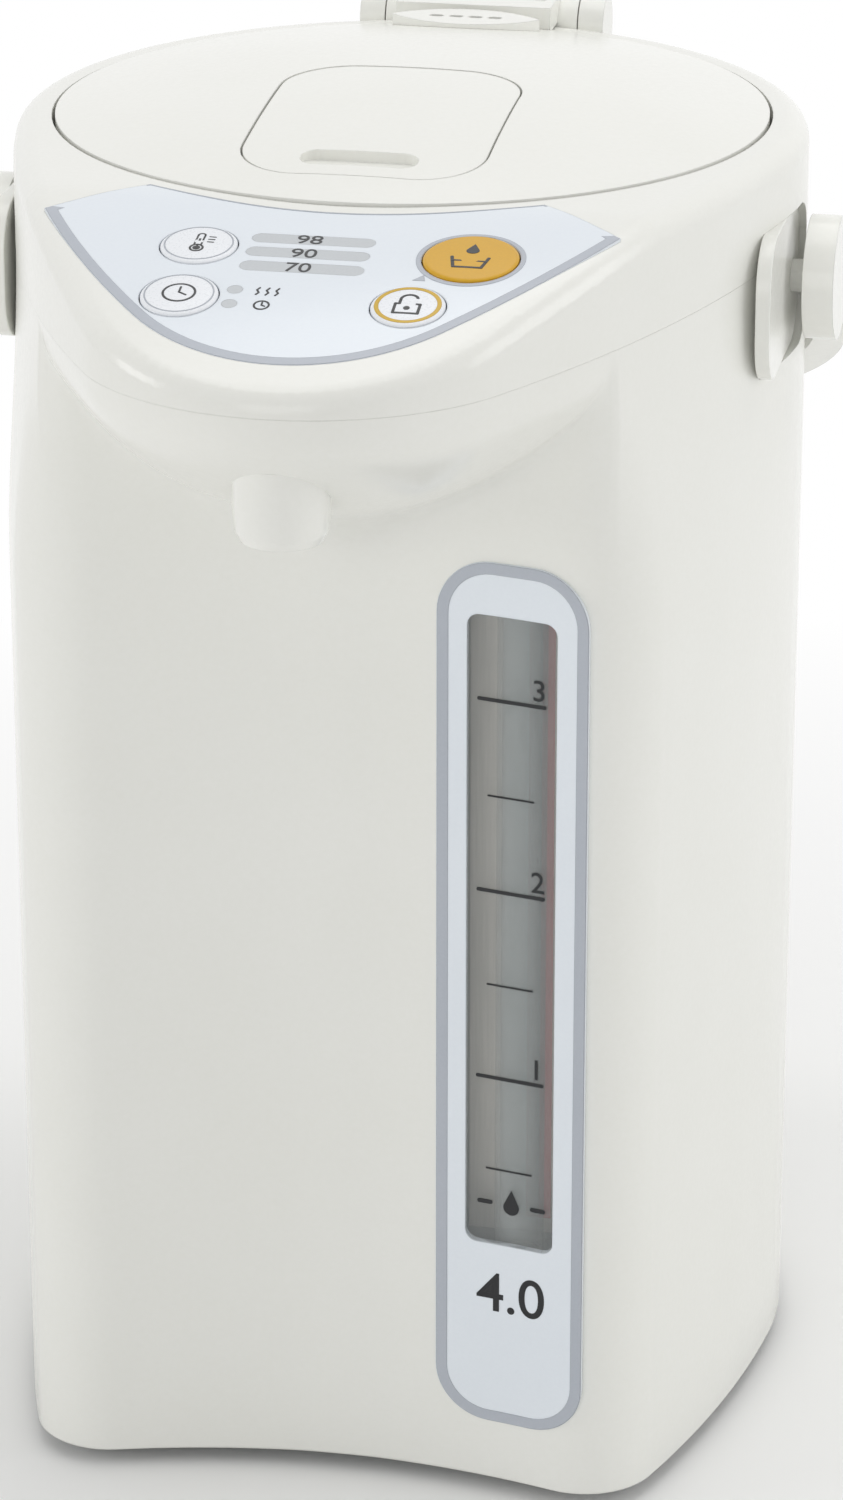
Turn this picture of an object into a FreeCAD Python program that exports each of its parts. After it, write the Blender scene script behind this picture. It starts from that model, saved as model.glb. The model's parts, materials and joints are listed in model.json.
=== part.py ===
import FreeCAD
import Part
import Sketcher
import math
import os

# Electric thermo pot of four litres: an insulated container in a plastic case, with an
# electric pump, a beak with the spout, a hinged lid, a bail handle and a swivel base.
# Millimetres. +Z is up, z = 0 is the table. x = 0, y = 0 is the axis of the container.
# The spout points to -Y and +X is the side of the water gauge.

V = FreeCAD.Vector
doc = FreeCAD.newDocument("thermo_pot")

DRIVING_SIZES = {
    "swivel base": {
        "base_radius": 75.0, "base_top": 4.8, "base_edge": 1.6, "post_radius": 10.0,
        "post_top": 14.0, "ring_inner": 64.0, "ring_outer": 70.0, "ring_deep": 1.2,
        "clip_radius": 14.0, "clip_z": 8.2, "clip_thick": 1.5, "turn_gap": 0.05,
    },
    "case outline": {
        "case_bottom": 4.0, "seam_z": 296.0, "case_radius": 96.0, "flank_radius": 350.0,
        "corner_radius": 17.8, "corner_x": 60.67, "corner_y": 86.14, "case_draft": 0.17,
        "wall": 2.5, "plate_z": 5.0, "plate_thick": 3.0, "plate_gap": 0.1,
        "boss_radius": 5.0, "boss_top": 26.0, "screw_radius": 1.5, "screw_head": 3.5,
        "screw_depth": 14.0, "rear_boss_y": 89.5, "boss_out": 11.0,
    },
    "beak": {
        "beak_back_y": 78.0, "beak_tip_y": 169.1, "beak_tip_radius": 55.0,
        "shoulder_side_radius": 400.0, "shoulder_radius": 96.4,
    },
    "shoulder": {
        "deck_z": 322.0, "slope_start_y": 81.0, "slope_start_angle": 8.0,
        "slope_radius": 375.0, "slope_ease": 60.0, "deck_round": 6.0, "well_radius": 87.5, "well_wall": 2.3,
        "well_floor": 306.0, "well_floor_thick": 2.5, "mouth_radius": 74.0,
        "lip_bottom": 299.0, "lip_inner": 78.0, "lip_outer": 84.0,
    },
    "container": {
        "bowl_radius": 81.5, "bowl_wall": 1.0, "bowl_floor": 64.0, "bowl_top": 297.0,
        "bowl_flange": 86.0, "bowl_corner": 9.0, "seal_inner": 80.0, "seal_top": 299.0,
        "outlet_x": 30.0, "outlet_y": 45.0, "outlet_radius": 5.0,
        "sleeve_inner": 85.0, "sleeve_wall": 1.2, "sleeve_bottom": 68.0, "sleeve_top": 290.0,
        "band_bottom": 76.0, "band_top": 112.0, "band_thick": 1.5,
        "plate_heater_inner": 14.0, "plate_heater_outer": 38.0, "plate_heater_thick": 6.0,
    },
    "panel": {
        "panel_thick": 1.2, "panel_rear_radius": 91.3, "panel_rear_x": 46.4,
        "panel_corner_x": 67.5, "panel_corner_y": 97.0, "panel_tip_y": 158.0,
        "panel_tip_radius": 48.0, "panel_side_radius": 197.0, "panel_turn": 47.0,
        "key_gap": 0.3, "key_flange": 1.2, "key_stem": 3.0, "bar_long": 28.5,
        "bar_deep": 4.4, "bar_pitch": 6.6, "bar_x": -1.8, "bar_y": 112.8, "dot_radius": 1.8,
        "dot_x": -14.7, "dot_y": 133.1, "dot_pitch": 5.9, "board_z": 297.5,
        "board_thick": 1.6, "board_half": 44.0, "board_front": 141.0, "board_back": 99.0,
        "switch_side": 6.0, "switch_high": 3.5,
    },
    "gauge": {
        "gauge_left": 24.8, "gauge_right": 62.3, "gauge_bottom": 20.0, "gauge_top": 242.0,
        "gauge_corner": 13.5, "window_left": 32.3, "window_right": 54.5,
        "window_bottom": 68.0, "window_top": 229.0, "window_corner": 3.0,
        "gauge_proud": 0.8, "gauge_sunk": 1.2, "tube_x": 44.0, "tube_y": 90.0,
        "tube_radius": 6.0, "tube_bore": 4.8, "tube_bottom": 62.0, "tube_top": 238.0,
        "backing_y": 82.0, "backing_thick": 1.0, "strip_left": 47.0, "strip_right": 53.0,
        "strip_thick": 0.3,
    },
    "spout": {
        "nozzle_y": 150.5, "nozzle_radius": 11.0, "nozzle_bottom": 262.5,
        "nozzle_top": 281.0, "nozzle_bore": 4.5, "nozzle_rim": 9.4, "pipe_radius": 5.5,
        "pipe_bore": 4.2, "valve_y": 122.0, "valve_radius": 11.0, "valve_bottom": 268.5,
        "valve_top": 290.0, "valve_wall": 2.0, "weight_radius": 6.5, "weight_high": 9.0,
        "elbow_z": 276.0, "spout_z": 281.0, "spout_bend": 7.0,
    },
    "pump": {
        "pump_radius": 20.0, "pump_wall": 2.2, "pump_top": 50.0, "pump_deck": 33.0,
        "motor_radius": 15.0, "motor_top": 27.0, "magnet_radius": 14.0,
        "magnet_thick": 4.0, "impeller_radius": 15.5, "impeller_high": 11.0,
        "shaft_radius": 1.5, "hose_radius": 6.0, "hose_bore": 4.2, "hose_bend": 14.0,
    },
    "lid": {
        "lid_radius": 86.7, "lid_rim_z": 322.4, "lid_crown": 9.8, "lid_wall": 2.5,
        "lid_skirt": 310.0, "base_flange": 84.0, "base_bottom": 306.4, "plug_radius": 70.0,
        "plug_bottom": 292.0, "dish_radius": 68.0, "dish_thick": 0.8, "gasket_radius": 72.6,
        "gasket_top": 300.0, "gasket_thick": 4.0,
        "lever_half": 29.0, "lever_front": 73.1, "lever_rear": 0.9, "lever_corner": 16.0,
        "lever_gap": 0.5, "lever_thick": 3.5, "scoop_half": 14.0, "scoop_front": 68.0,
        "scoop_back": 60.0, "scoop_deep": 2.2,
        "latch_half": 12.0, "latch_tip": 86.9, "latch_back": 58.0, "latch_z": 314.0,
        "latch_thick": 3.0,
    },
    "hinge": {
        "hinge_y": 99.0, "hinge_z": 320.5, "barrel_radius": 8.0, "barrel_half": 25.0,
        "pin_radius": 2.5, "lug_thick": 6.5, "lug_gap": 0.3, "arm_half": 20.0,
        "arm_front": 80.0, "arm_top": 329.0, "vent_y": 70.0, "vent_half": 19.0,
        "vent_deep": 8.0, "vent_top": 329.0, "slot_long": 3.6, "slot_wide": 2.0,
        "slot_pitch": 5.0, "release_half": 17.0, "release_front": 91.0,
        "release_rear": 104.0, "release_thick": 1.6,
    },
    "handle": {
        "pivot_y": -5.0, "pivot_z": 287.0, "handle_inner": 98.6, "handle_thick": 7.5,
        "handle_reach": 139.0, "handle_drop": 28.0, "handle_wide": 17.0,
        "disc_radius": 15.0, "grip_bend": 85.0, "arm_start": 12.0, "pivot_pin": 4.0, "mount_face": 95.4, "mount_back": 91.0,
        "mount_front_y": -46.0, "mount_rear_y": 6.0, "mount_bottom": 270.0,
        "mount_top": 305.0, "mount_corner": 12.0,
    },
    "power": {
        "inlet_z": 42.0, "inlet_half": 17.0, "inlet_high": 22.0, "inlet_deep": 16.0,
        "inlet_flange": 2.0, "pin_half_pitch": 7.0, "contact_radius": 2.0,
        "power_board_x": -62.0, "power_board_wide": 42.0, "power_board_long": 84.0,
        "power_board_z": 16.0, "power_board_thick": 1.6,
    },
}


class Size:
    """A length that knows its number and the sheet expression that drives it."""

    def __init__(self, value, text):
        self.value = float(value)
        self.text = text

    def __add__(self, other):
        other = as_size(other)
        return Size(self.value + other.value, f"({self.text} + {other.text})")

    def __sub__(self, other):
        other = as_size(other)
        return Size(self.value - other.value, f"({self.text} - {other.text})")

    def __mul__(self, other):
        other = as_size(other)
        return Size(self.value * other.value, f"({self.text} * {other.text})")

    def __truediv__(self, other):
        other = as_size(other)
        return Size(self.value / other.value, f"({self.text} / {other.text})")

    def __radd__(self, other):
        return as_size(other) + self

    def __rsub__(self, other):
        return as_size(other) - self

    def __rmul__(self, other):
        return as_size(other) * self

    def __neg__(self):
        return Size(-self.value, f"(0 - {self.text})")

    def root(self):
        return Size(math.sqrt(self.value), f"sqrt({self.text})")


def as_size(value):
    return value if isinstance(value, Size) else Size(value, repr(float(value)))


class Driving:
    """The spreadsheet of driving sizes, one attribute for each aliased cell."""

    def __init__(self, groups):
        self.sheet = doc.addObject("Spreadsheet::Sheet", "Dims")
        row = 1
        for group, sizes in groups.items():
            self.sheet.set(f"A{row}", group)
            row += 1
            for name, value in sizes.items():
                self.sheet.set(f"A{row}", name)
                self.sheet.set(f"B{row}", str(value))
                self.sheet.setAlias(f"B{row}", name)
                setattr(self, name, Size(value, f"Dims.{name}"))
                row += 1


D = Driving(DRIVING_SIZES)
doc.recompute()
ZERO = as_size(0)


# Sketch helpers

def origin_plane(body, role):
    return [item for item in body.Origin.OriginFeatures if item.Role == role][0]


def add_body(name):
    body = doc.addObject("PartDesign::Body", name)
    body.Label = name
    return body


def add_sketch(body, role, lift=None):
    sketch = body.newObject("Sketcher::SketchObject", body.Name + "_sketch")
    sketch.AttachmentSupport = [(origin_plane(body, role), "")]
    sketch.MapMode = "FlatFace"
    if lift is not None:
        sketch.setExpression("AttachmentOffset.Base.z", lift.text)
        sketch.AttachmentOffset = FreeCAD.Placement(V(0, 0, lift.value), FreeCAD.Rotation())
    return sketch


def drive(sketch, index, size):
    sketch.setExpression(f"Constraints[{index}]", size.text)


def fix_point(sketch, geometry, corner, x, y):
    for kind, axis, size in (("DistanceX", -2, as_size(x)), ("DistanceY", -1, as_size(y))):
        if abs(size.value) < 1e-9:
            sketch.addConstraint(Sketcher.Constraint("PointOnObject", geometry, corner, axis))
        else:
            index = sketch.addConstraint(
                Sketcher.Constraint(kind, -1, 1, geometry, corner, size.value))
            drive(sketch, index, size)


def fix_radius(sketch, geometry, size):
    size = as_size(size)
    index = sketch.addConstraint(Sketcher.Constraint("Radius", geometry, size.value))
    drive(sketch, index, size)


def add_circle(sketch, x, y, radius):
    x, y, radius = as_size(x), as_size(y), as_size(radius)
    index = sketch.addGeometry(Part.Circle(V(x.value, y.value, 0), V(0, 0, 1), radius.value))
    fix_point(sketch, index, 3, x, y)
    fix_radius(sketch, index, radius)
    return index


class Loop:
    """A closed run of lines and arcs in a sketch, drawn anticlockwise."""

    def __init__(self, sketch):
        self.sketch = sketch
        self.pieces = []

    def line(self, start, end):
        index = self.sketch.addGeometry(Part.LineSegment(V(*start, 0), V(*end, 0)))
        self.pieces.append((index, 1, 2))
        return index

    def arc(self, centre, start, end, hollow=False):
        """An arc about centre. A hollow one bends into the outline, so it runs clockwise."""
        first, last = (end, start) if hollow else (start, end)
        radius = math.dist(centre, start)
        angles = [math.atan2(p[1] - centre[1], p[0] - centre[0]) for p in (first, last)]
        circle = Part.Circle(V(*centre, 0), V(0, 0, 1), radius)
        index = self.sketch.addGeometry(Part.ArcOfCircle(circle, *angles))
        self.pieces.append((index, 2, 1) if hollow else (index, 1, 2))
        return index

    def close(self, sharp=()):
        """Joins each piece to the next, smoothly except after the pieces named sharp."""
        for place, (index, _, end) in enumerate(self.pieces):
            follower, start, _ = self.pieces[(place + 1) % len(self.pieces)]
            kind = "Coincident" if place in sharp else "Tangent"
            self.sketch.addConstraint(Sketcher.Constraint(kind, index, end, follower, start))


def add_polygon(sketch, points):
    """A closed polygon whose corners are pairs of sizes."""
    corners = [(as_size(x), as_size(y)) for x, y in points]
    loop = Loop(sketch)
    for place, (x, y) in enumerate(corners):
        after = corners[(place + 1) % len(corners)]
        loop.line((x.value, y.value), (after[0].value, after[1].value))
    loop.close(sharp=range(len(corners)))
    for (index, _, _), (x, y) in zip(loop.pieces, corners):
        fix_point(sketch, index, 1, x, y)


def add_rounded_box(sketch, left, right, low, high, radius):
    """A rectangle with four equal round corners."""
    left, right, low, high = (as_size(value) for value in (left, right, low, high))
    radius = as_size(radius)
    inner_left, inner_right = left + radius, right - radius
    inner_low, inner_high = low + radius, high - radius
    loop = Loop(sketch)
    corners = [
        (inner_right, inner_low, (0, -1), (1, 0)), (inner_right, inner_high, (1, 0), (0, 1)),
        (inner_left, inner_high, (0, 1), (-1, 0)), (inner_left, inner_low, (-1, 0), (0, -1)),
    ]
    reach = radius.value
    for place, (x, y, begin, finish) in enumerate(corners):
        centre = (x.value, y.value)
        start = (centre[0] + begin[0] * reach, centre[1] + begin[1] * reach)
        end = (centre[0] + finish[0] * reach, centre[1] + finish[1] * reach)
        index = loop.arc(centre, start, end)
        fix_point(sketch, index, 3, x, y)
        after = corners[(place + 1) % 4]
        target = (after[0].value + after[2][0] * reach, after[1].value + after[2][1] * reach)
        loop.line(end, target)
    loop.close()
    fix_radius(sketch, loop.pieces[0][0], radius)


# Feature helpers

def pad(body, sketch, height, reverse=False, both=False, draft=None):
    feature = body.newObject("PartDesign::Pad", body.Name + "_pad")
    feature.Profile = sketch
    feature.setExpression("Length", as_size(height).text)
    feature.Reversed = reverse
    feature.Midplane = both
    if draft is not None:
        feature.setExpression("TaperAngle", draft.text)
    return feature


def pocket(body, sketch, depth, reverse=False, both=False):
    feature = body.newObject("PartDesign::Pocket", body.Name + "_pocket")
    feature.Profile = sketch
    feature.setExpression("Length", as_size(depth).text)
    feature.Reversed = reverse
    feature.Midplane = both
    return feature


def turn(body, sketch, angle=360.0):
    feature = body.newObject("PartDesign::Revolution", body.Name + "_turn")
    feature.Profile = sketch
    feature.ReferenceAxis = (sketch, ["V_Axis"])
    feature.Angle = angle
    return feature


def turned(name, *outlines):
    """A body turned about +Z from outlines given as (radius, z)."""
    body = add_body(name)
    for points in outlines:
        sketch = add_sketch(body, "XZ_Plane")
        add_polygon(sketch, points)
        turn(body, sketch)
    doc.recompute()
    return body


def ring(name, inner, outer, low, high):
    return turned(name, [(inner, low), (outer, low), (outer, high), (inner, high)])


def box(name, x0, x1, y0, y1, z0, z1):
    item = doc.addObject("Part::Box", name)
    item.Label = name
    spans = (("Length", "x", x0, x1), ("Width", "y", y0, y1), ("Height", "z", z0, z1))
    for prop, axis, low, high in spans:
        low, high = as_size(low), as_size(high)
        item.setExpression(prop, (high - low).text)
        item.setExpression(f"Placement.Base.{axis}", low.text)
    return item


def place(item, x=0, y=0, z=0):
    for axis, value in (("x", x), ("y", y), ("z", z)):
        item.setExpression(f"Placement.Base.{axis}", as_size(value).text)
    return item


def rod(name, radius, length, x, y, z, axis=V(0, 0, 1)):
    """A cylinder that starts at x, y, z and runs along axis."""
    item = doc.addObject("Part::Cylinder", name)
    item.Label = name
    item.setExpression("Radius", as_size(radius).text)
    item.setExpression("Height", as_size(length).text)
    item.Placement = FreeCAD.Placement(V(0, 0, 0), FreeCAD.Rotation(V(0, 0, 1), axis))
    return place(item, x, y, z)


def cut(name, base, tool):
    item = doc.addObject("Part::Cut", name)
    item.Label = name
    item.Base = base
    item.Tool = tool
    return item


def common(name, base, tool):
    item = doc.addObject("Part::Common", name)
    item.Label = name
    item.Base = base
    item.Tool = tool
    return item


def fuse(name, *parts):
    item = doc.addObject("Part::MultiFuse", name)
    item.Label = name
    item.Shapes = list(parts)
    item.Refine = True
    return item


def group(name, *parts):
    item = doc.addObject("Part::Compound", name)
    item.Label = name
    item.Links = list(parts)
    return item


# Plan outlines

def enclosing_centre(near, near_radius, far, far_radius, radius):
    """Centre of the arc that encloses and touches two circles, on their left-hand side."""
    first, second = radius - near_radius, radius - far_radius
    dx, dy = far[0] - near[0], far[1] - near[1]
    gap = math.hypot(dx, dy)
    along = (first ** 2 - second ** 2 + gap ** 2) / (2 * gap)
    side = math.sqrt(first ** 2 - along ** 2)
    return (near[0] + (along * dx - side * dy) / gap, near[1] + (along * dy + side * dx) / gap)


def toward(centre, other, distance):
    """The point at distance from centre, on the ray from centre away from other."""
    dx, dy = centre[0] - other[0], centre[1] - other[1]
    scale = distance / math.hypot(dx, dy)
    return (centre[0] + dx * scale, centre[1] + dy * scale)


def mirrored(point):
    return (-point[0], point[1])


def case_outline(sketch, inset=ZERO):
    """Round back, long side arcs, small front corners and a hollow front face."""
    rear, side = D.case_radius - inset, D.flank_radius - inset
    corner = D.corner_radius - inset
    axis = (0.0, 0.0)
    corner_at = (D.corner_x.value, -D.corner_y.value)
    left_centre = enclosing_centre(corner_at, corner.value, axis, rear.value, side.value)
    rear_touch = toward(axis, left_centre, rear.value)
    corner_touch = toward(corner_at, left_centre, corner.value)
    hollow_radius = 191.85 + inset.value
    reach = hollow_radius + corner.value
    hollow_at = (0.0, corner_at[1] - math.sqrt(reach ** 2 - corner_at[0] ** 2))
    scale = hollow_radius / reach
    front_touch = (corner_at[0] * scale, hollow_at[1] + (corner_at[1] - hollow_at[1]) * scale)

    loop = Loop(sketch)
    back = loop.arc(axis, rear_touch, mirrored(rear_touch))
    left = loop.arc(mirrored(left_centre), mirrored(rear_touch), mirrored(corner_touch))
    left_corner = loop.arc(mirrored(corner_at), mirrored(corner_touch), mirrored(front_touch))
    front = loop.arc(hollow_at, mirrored(front_touch), front_touch, hollow=True)
    right_corner = loop.arc(corner_at, front_touch, corner_touch)
    right = loop.arc(left_centre, corner_touch, rear_touch)
    loop.close()
    fix_point(sketch, back, 3, 0, 0)
    fix_radius(sketch, back, rear)
    for index in (left, right):
        fix_radius(sketch, index, side)
    fix_point(sketch, left_corner, 3, -D.corner_x, -D.corner_y)
    fix_point(sketch, right_corner, 3, D.corner_x, -D.corner_y)
    fix_radius(sketch, right_corner, corner)
    sketch.addConstraint(Sketcher.Constraint("PointOnObject", front, 3, -2))


def shoulder_outline(sketch, inset=ZERO):
    """The same round back, drawn forward into the long beak over the spout."""
    rear, side = D.shoulder_radius - inset, D.shoulder_side_radius - inset
    tip = D.beak_tip_radius - inset
    axis = (0.0, 0.0)
    tip_at = (0.0, -(D.beak_tip_y.value - D.beak_tip_radius.value))
    side_centre = enclosing_centre(tip_at, tip.value, axis, rear.value, side.value)
    rear_touch = toward(axis, side_centre, rear.value)
    tip_touch = toward(tip_at, side_centre, tip.value)
    loop = Loop(sketch)
    back = loop.arc(axis, rear_touch, mirrored(rear_touch))
    left = loop.arc(mirrored(side_centre), mirrored(rear_touch), mirrored(tip_touch))
    front = loop.arc(tip_at, mirrored(tip_touch), tip_touch)
    right = loop.arc(side_centre, tip_touch, rear_touch)
    loop.close()
    fix_point(sketch, back, 3, 0, 0)
    fix_radius(sketch, back, rear)
    fix_radius(sketch, left, side)
    fix_radius(sketch, right, side)
    fix_point(sketch, front, 3, 0, D.beak_tip_radius - D.beak_tip_y)
    fix_radius(sketch, front, tip)



def panel_outline(sketch, inset=ZERO):
    """Long curved front edge, two corners, and a rear edge that follows the lid."""
    tip_at = (0.0, D.panel_tip_radius.value - D.panel_tip_y.value)
    tip = D.panel_tip_radius.value - inset.value
    side = D.panel_side_radius.value - inset.value
    heading = math.radians(D.panel_turn.value)
    away = (math.sin(heading), -math.cos(heading))
    tip_touch = (tip_at[0] + tip * away[0], tip_at[1] + tip * away[1])
    side_at = (tip_touch[0] - side * away[0], tip_touch[1] - side * away[1])
    corner_y = inset.value - D.panel_corner_y.value
    corner = (side_at[0] + math.sqrt(side ** 2 - (corner_y - side_at[1]) ** 2), corner_y)
    rear = D.panel_rear_radius.value + inset.value
    rear_x = D.panel_rear_x.value - inset.value / 2
    rear_touch = (rear_x, -math.sqrt(rear ** 2 - rear_x ** 2))
    loop = Loop(sketch)
    front = loop.arc(tip_at, mirrored(tip_touch), tip_touch)
    right = loop.arc(side_at, tip_touch, corner)
    loop.line(corner, rear_touch)
    back = loop.arc((0.0, 0.0), rear_touch, mirrored(rear_touch), hollow=True)
    loop.line(mirrored(rear_touch), mirrored(corner))
    left = loop.arc(mirrored(side_at), mirrored(corner), mirrored(tip_touch))
    loop.close(sharp=(1, 2, 3, 4))
    fix_point(sketch, front, 3, 0, D.panel_tip_radius - D.panel_tip_y)
    fix_radius(sketch, front, D.panel_tip_radius - inset)
    fix_radius(sketch, right, D.panel_side_radius - inset)
    fix_radius(sketch, left, D.panel_side_radius - inset)
    fix_point(sketch, back, 3, 0, 0)
    fix_radius(sketch, back, D.panel_rear_radius + inset)


# Swivel base

def make_swivel_base():
    ring_low = D.ring_deep
    body = turned("swivel_base", [
        (ZERO, ZERO), (D.ring_inner, ZERO), (D.ring_inner, ring_low), (D.ring_outer, ring_low),
        (D.ring_outer, ZERO), (D.base_radius - D.base_edge, ZERO),
        (D.base_radius, D.base_edge), (D.base_radius, D.base_top - D.base_edge),
        (D.base_radius - D.base_edge, D.base_top), (D.post_radius, D.base_top),
        (D.post_radius, D.post_top), (ZERO, D.post_top)])
    pads = ring("anti_slip_ring", D.ring_inner, D.ring_outer, ZERO, D.ring_deep)
    clip = ring("swivel_clip", D.post_radius, D.clip_radius, D.clip_z, D.clip_z + D.clip_thick)
    return [body, pads, clip]


# Case

def beak_section(body, height, radius, tip_y):
    """One level of the beak: a round front that runs back into the case."""
    sketch = add_sketch(body, "XY_Plane", as_size(height))
    centre = (0.0, radius - tip_y)
    back_y = min(-D.beak_back_y.value, centre[1] + 0.6 * radius)
    touch_angle = math.radians(57.7)
    touch = (radius * math.sin(touch_angle), centre[1] - radius * math.cos(touch_angle))
    corner = (math.sqrt(radius ** 2 - (back_y - centre[1]) ** 2), back_y)
    loop = Loop(sketch)
    loop.arc(centre, mirrored(touch), touch)
    loop.arc(centre, touch, corner)
    loop.line(corner, mirrored(corner))
    loop.arc(centre, mirrored(corner), mirrored(touch))
    return sketch


def beak_top_section(body, height, inset):
    """The level of the seam, where the beak takes the outline of the shoulder."""
    sketch = add_sketch(body, "XY_Plane", height)
    rear, side = D.shoulder_radius.value - inset, D.shoulder_side_radius.value - inset
    tip = D.beak_tip_radius.value - inset
    tip_at = (0.0, D.beak_tip_radius.value - D.beak_tip_y.value)
    side_at = enclosing_centre(tip_at, tip, (0.0, 0.0), rear, side)
    touch = toward(tip_at, side_at, tip)
    back_y = -D.beak_back_y.value
    corner = (side_at[0] + math.sqrt(side ** 2 - (back_y - side_at[1]) ** 2), back_y)
    loop = Loop(sketch)
    loop.arc(tip_at, mirrored(touch), touch)
    loop.arc(side_at, touch, corner)
    loop.line(corner, mirrored(corner))
    loop.arc(mirrored(side_at), mirrored(corner), mirrored(touch))
    return sketch


BEAK_LEVELS = (
    (247.0, 6.5, 94.5), (256.0, 29.0, 116.5), (264.0, 46.2, 136.1), (274.0, 58.0, 153.0),
    (286.0, 67.5, 166.0),
)


def case_solid(name, inset, low, lift):
    """The filled form of the case: the upright body and the beak that swells from it."""
    body = add_body(name)
    sketch = add_sketch(body, "XY_Plane", low)
    case_outline(sketch, inset)
    pad(body, sketch, D.seam_z - low + inset, draft=D.case_draft)
    doc.recompute()
    beak = body.newObject("PartDesign::AdditiveLoft", body.Name + "_beak")
    sections = [beak_section(body, z + lift, radius - inset.value, tip - inset.value)
                for z, radius, tip in BEAK_LEVELS if radius > 3 * inset.value + 4]
    sections.append(beak_top_section(body, D.seam_z + inset, inset.value))
    beak.Profile = sections[0]
    beak.Sections = sections[1:]
    doc.recompute()
    return body


def corner_boss_spots():
    """Where the screws go: into the two front corners and beside the middle of the back."""
    step = D.boss_out * 0.7071
    front_x, front_y = D.corner_x + step, D.corner_y + step
    return [(-front_x, -front_y), (front_x, -front_y), (ZERO, D.rear_boss_y)]


def make_case():
    outer = case_solid("case_outside", ZERO, D.case_bottom, 0.0)
    inner = case_solid("case_inside", D.wall, D.case_bottom, D.wall.value)
    shell = cut("case_shell", outer, inner)
    bosses = []
    for place_no, (x, y) in enumerate(corner_boss_spots()):
        boss = rod(f"case_boss_{place_no}", D.boss_radius, D.boss_top - D.plate_z - D.plate_thick,
                   x, y, D.plate_z + D.plate_thick)
        hole = rod(f"case_boss_hole_{place_no}", D.screw_radius, D.screw_depth * 2,
                   x, y, D.plate_z)
        bosses.append(cut(f"case_boss_bored_{place_no}", boss, hole))
    held = fuse("case_with_bosses", shell, *bosses)
    openings = [
        gauge_shape("gauge_seat", D.gauge_sunk, D.wall),
        window_hole("case_window"),
        rod("nozzle_hole", D.nozzle_radius, D.seam_z - D.nozzle_bottom - 6, ZERO, -D.nozzle_y,
            D.nozzle_bottom),
        inlet_hole("case_inlet_hole"),
        mount_outline("mount_hole_left", -1),
        mount_outline("mount_hole_right", 1),
    ]
    return [cut("outer_case", held, fuse("case_openings", *openings))]


def face_radius():
    return as_size(191.85)


def face_centre_y():
    return as_size(-286.82)


def gauge_shape(name, sunk, proud):
    """The long round-ended outline of the gauge panel, as a skin of the hollow face."""
    body = add_body(name)
    sketch = add_sketch(body, "XZ_Plane", as_size(80.0))
    add_rounded_box(sketch, D.gauge_left, D.gauge_right, D.gauge_bottom, D.gauge_top,
                    D.gauge_corner)
    pad(body, sketch, 40.0)
    doc.recompute()
    skin = face_skin(name + "_skin", sunk, proud)
    return common(name + "_on_face", body, skin)


def face_skin(name, sunk, proud):
    """A curved sheet that lies sunk below and proud above the hollow front face."""
    thick = doc.addObject("Part::Cylinder", name + "_far")
    near = doc.addObject("Part::Cylinder", name + "_near")
    for item, radius in ((thick, face_radius() + sunk), (near, face_radius() - proud)):
        item.setExpression("Radius", radius.text)
        item.setExpression("Height", D.seam_z.text)
        place(item, ZERO, face_centre_y(), ZERO)
    return cut(name, thick, near)


def window_block(name, inset):
    body = add_body(name)
    sketch = add_sketch(body, "XZ_Plane", as_size(80.0))
    add_rounded_box(sketch, D.window_left + inset, D.window_right - inset,
                    D.window_bottom + inset, D.window_top - inset, D.window_corner)
    pad(body, sketch, 40.0)
    doc.recompute()
    return body


def window_hole(name):
    return window_block(name, ZERO)


def make_gauge():
    plate = gauge_shape("gauge_plate", D.gauge_sunk, D.gauge_proud)
    panel = cut("gauge_panel", plate, window_block("gauge_panel_window", ZERO))
    window = common("gauge_window", window_block("gauge_window_block", ZERO),
                    face_skin("gauge_window_skin", D.gauge_sunk, D.gauge_proud - 0.4))
    tube = ring("gauge_tube", D.tube_bore, D.tube_radius, D.tube_bottom, D.tube_top)
    place(tube, D.tube_x, -D.tube_y)
    backing = box("gauge_backing", D.window_left - 2, D.window_right + 2,
                  -D.backing_y - D.backing_thick, -D.backing_y,
                  D.window_bottom - 4, D.window_top + 4)
    strip = box("gauge_strip", D.strip_left, D.strip_right,
                -D.backing_y - D.backing_thick - D.strip_thick,
                -D.backing_y - D.backing_thick, D.window_bottom, D.window_top)
    return [panel, window, tube, backing, strip]


# Bottom plate and its screws

def make_bottom():
    body = add_body("bottom_plate")
    sketch = add_sketch(body, "XY_Plane", D.plate_z)
    case_outline(sketch, D.wall + D.plate_gap)
    add_circle(sketch, ZERO, ZERO, D.post_radius + D.turn_gap)
    for x, y in corner_boss_spots():
        add_circle(sketch, x, y, D.screw_radius)
    pad(body, sketch, D.plate_thick)
    doc.recompute()
    screws = []
    for place_no, (x, y) in enumerate(corner_boss_spots()):
        shank = rod(f"screw_shank_{place_no}", D.screw_radius, D.screw_depth, x, y, D.plate_z)
        head = rod(f"screw_head_{place_no}", D.screw_head, 1.0, x, y, D.plate_z - 1)
        screws.append(fuse(f"screw_{place_no}", shank, head))
    return [body, group("bottom_screws", *screws)]


# Power inlet at the back, the boards

def inlet_hole(name):
    return box(name, -D.inlet_half, D.inlet_half, 85, 110, D.inlet_z - D.inlet_high / 2,
               D.inlet_z + D.inlet_high / 2)


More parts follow.
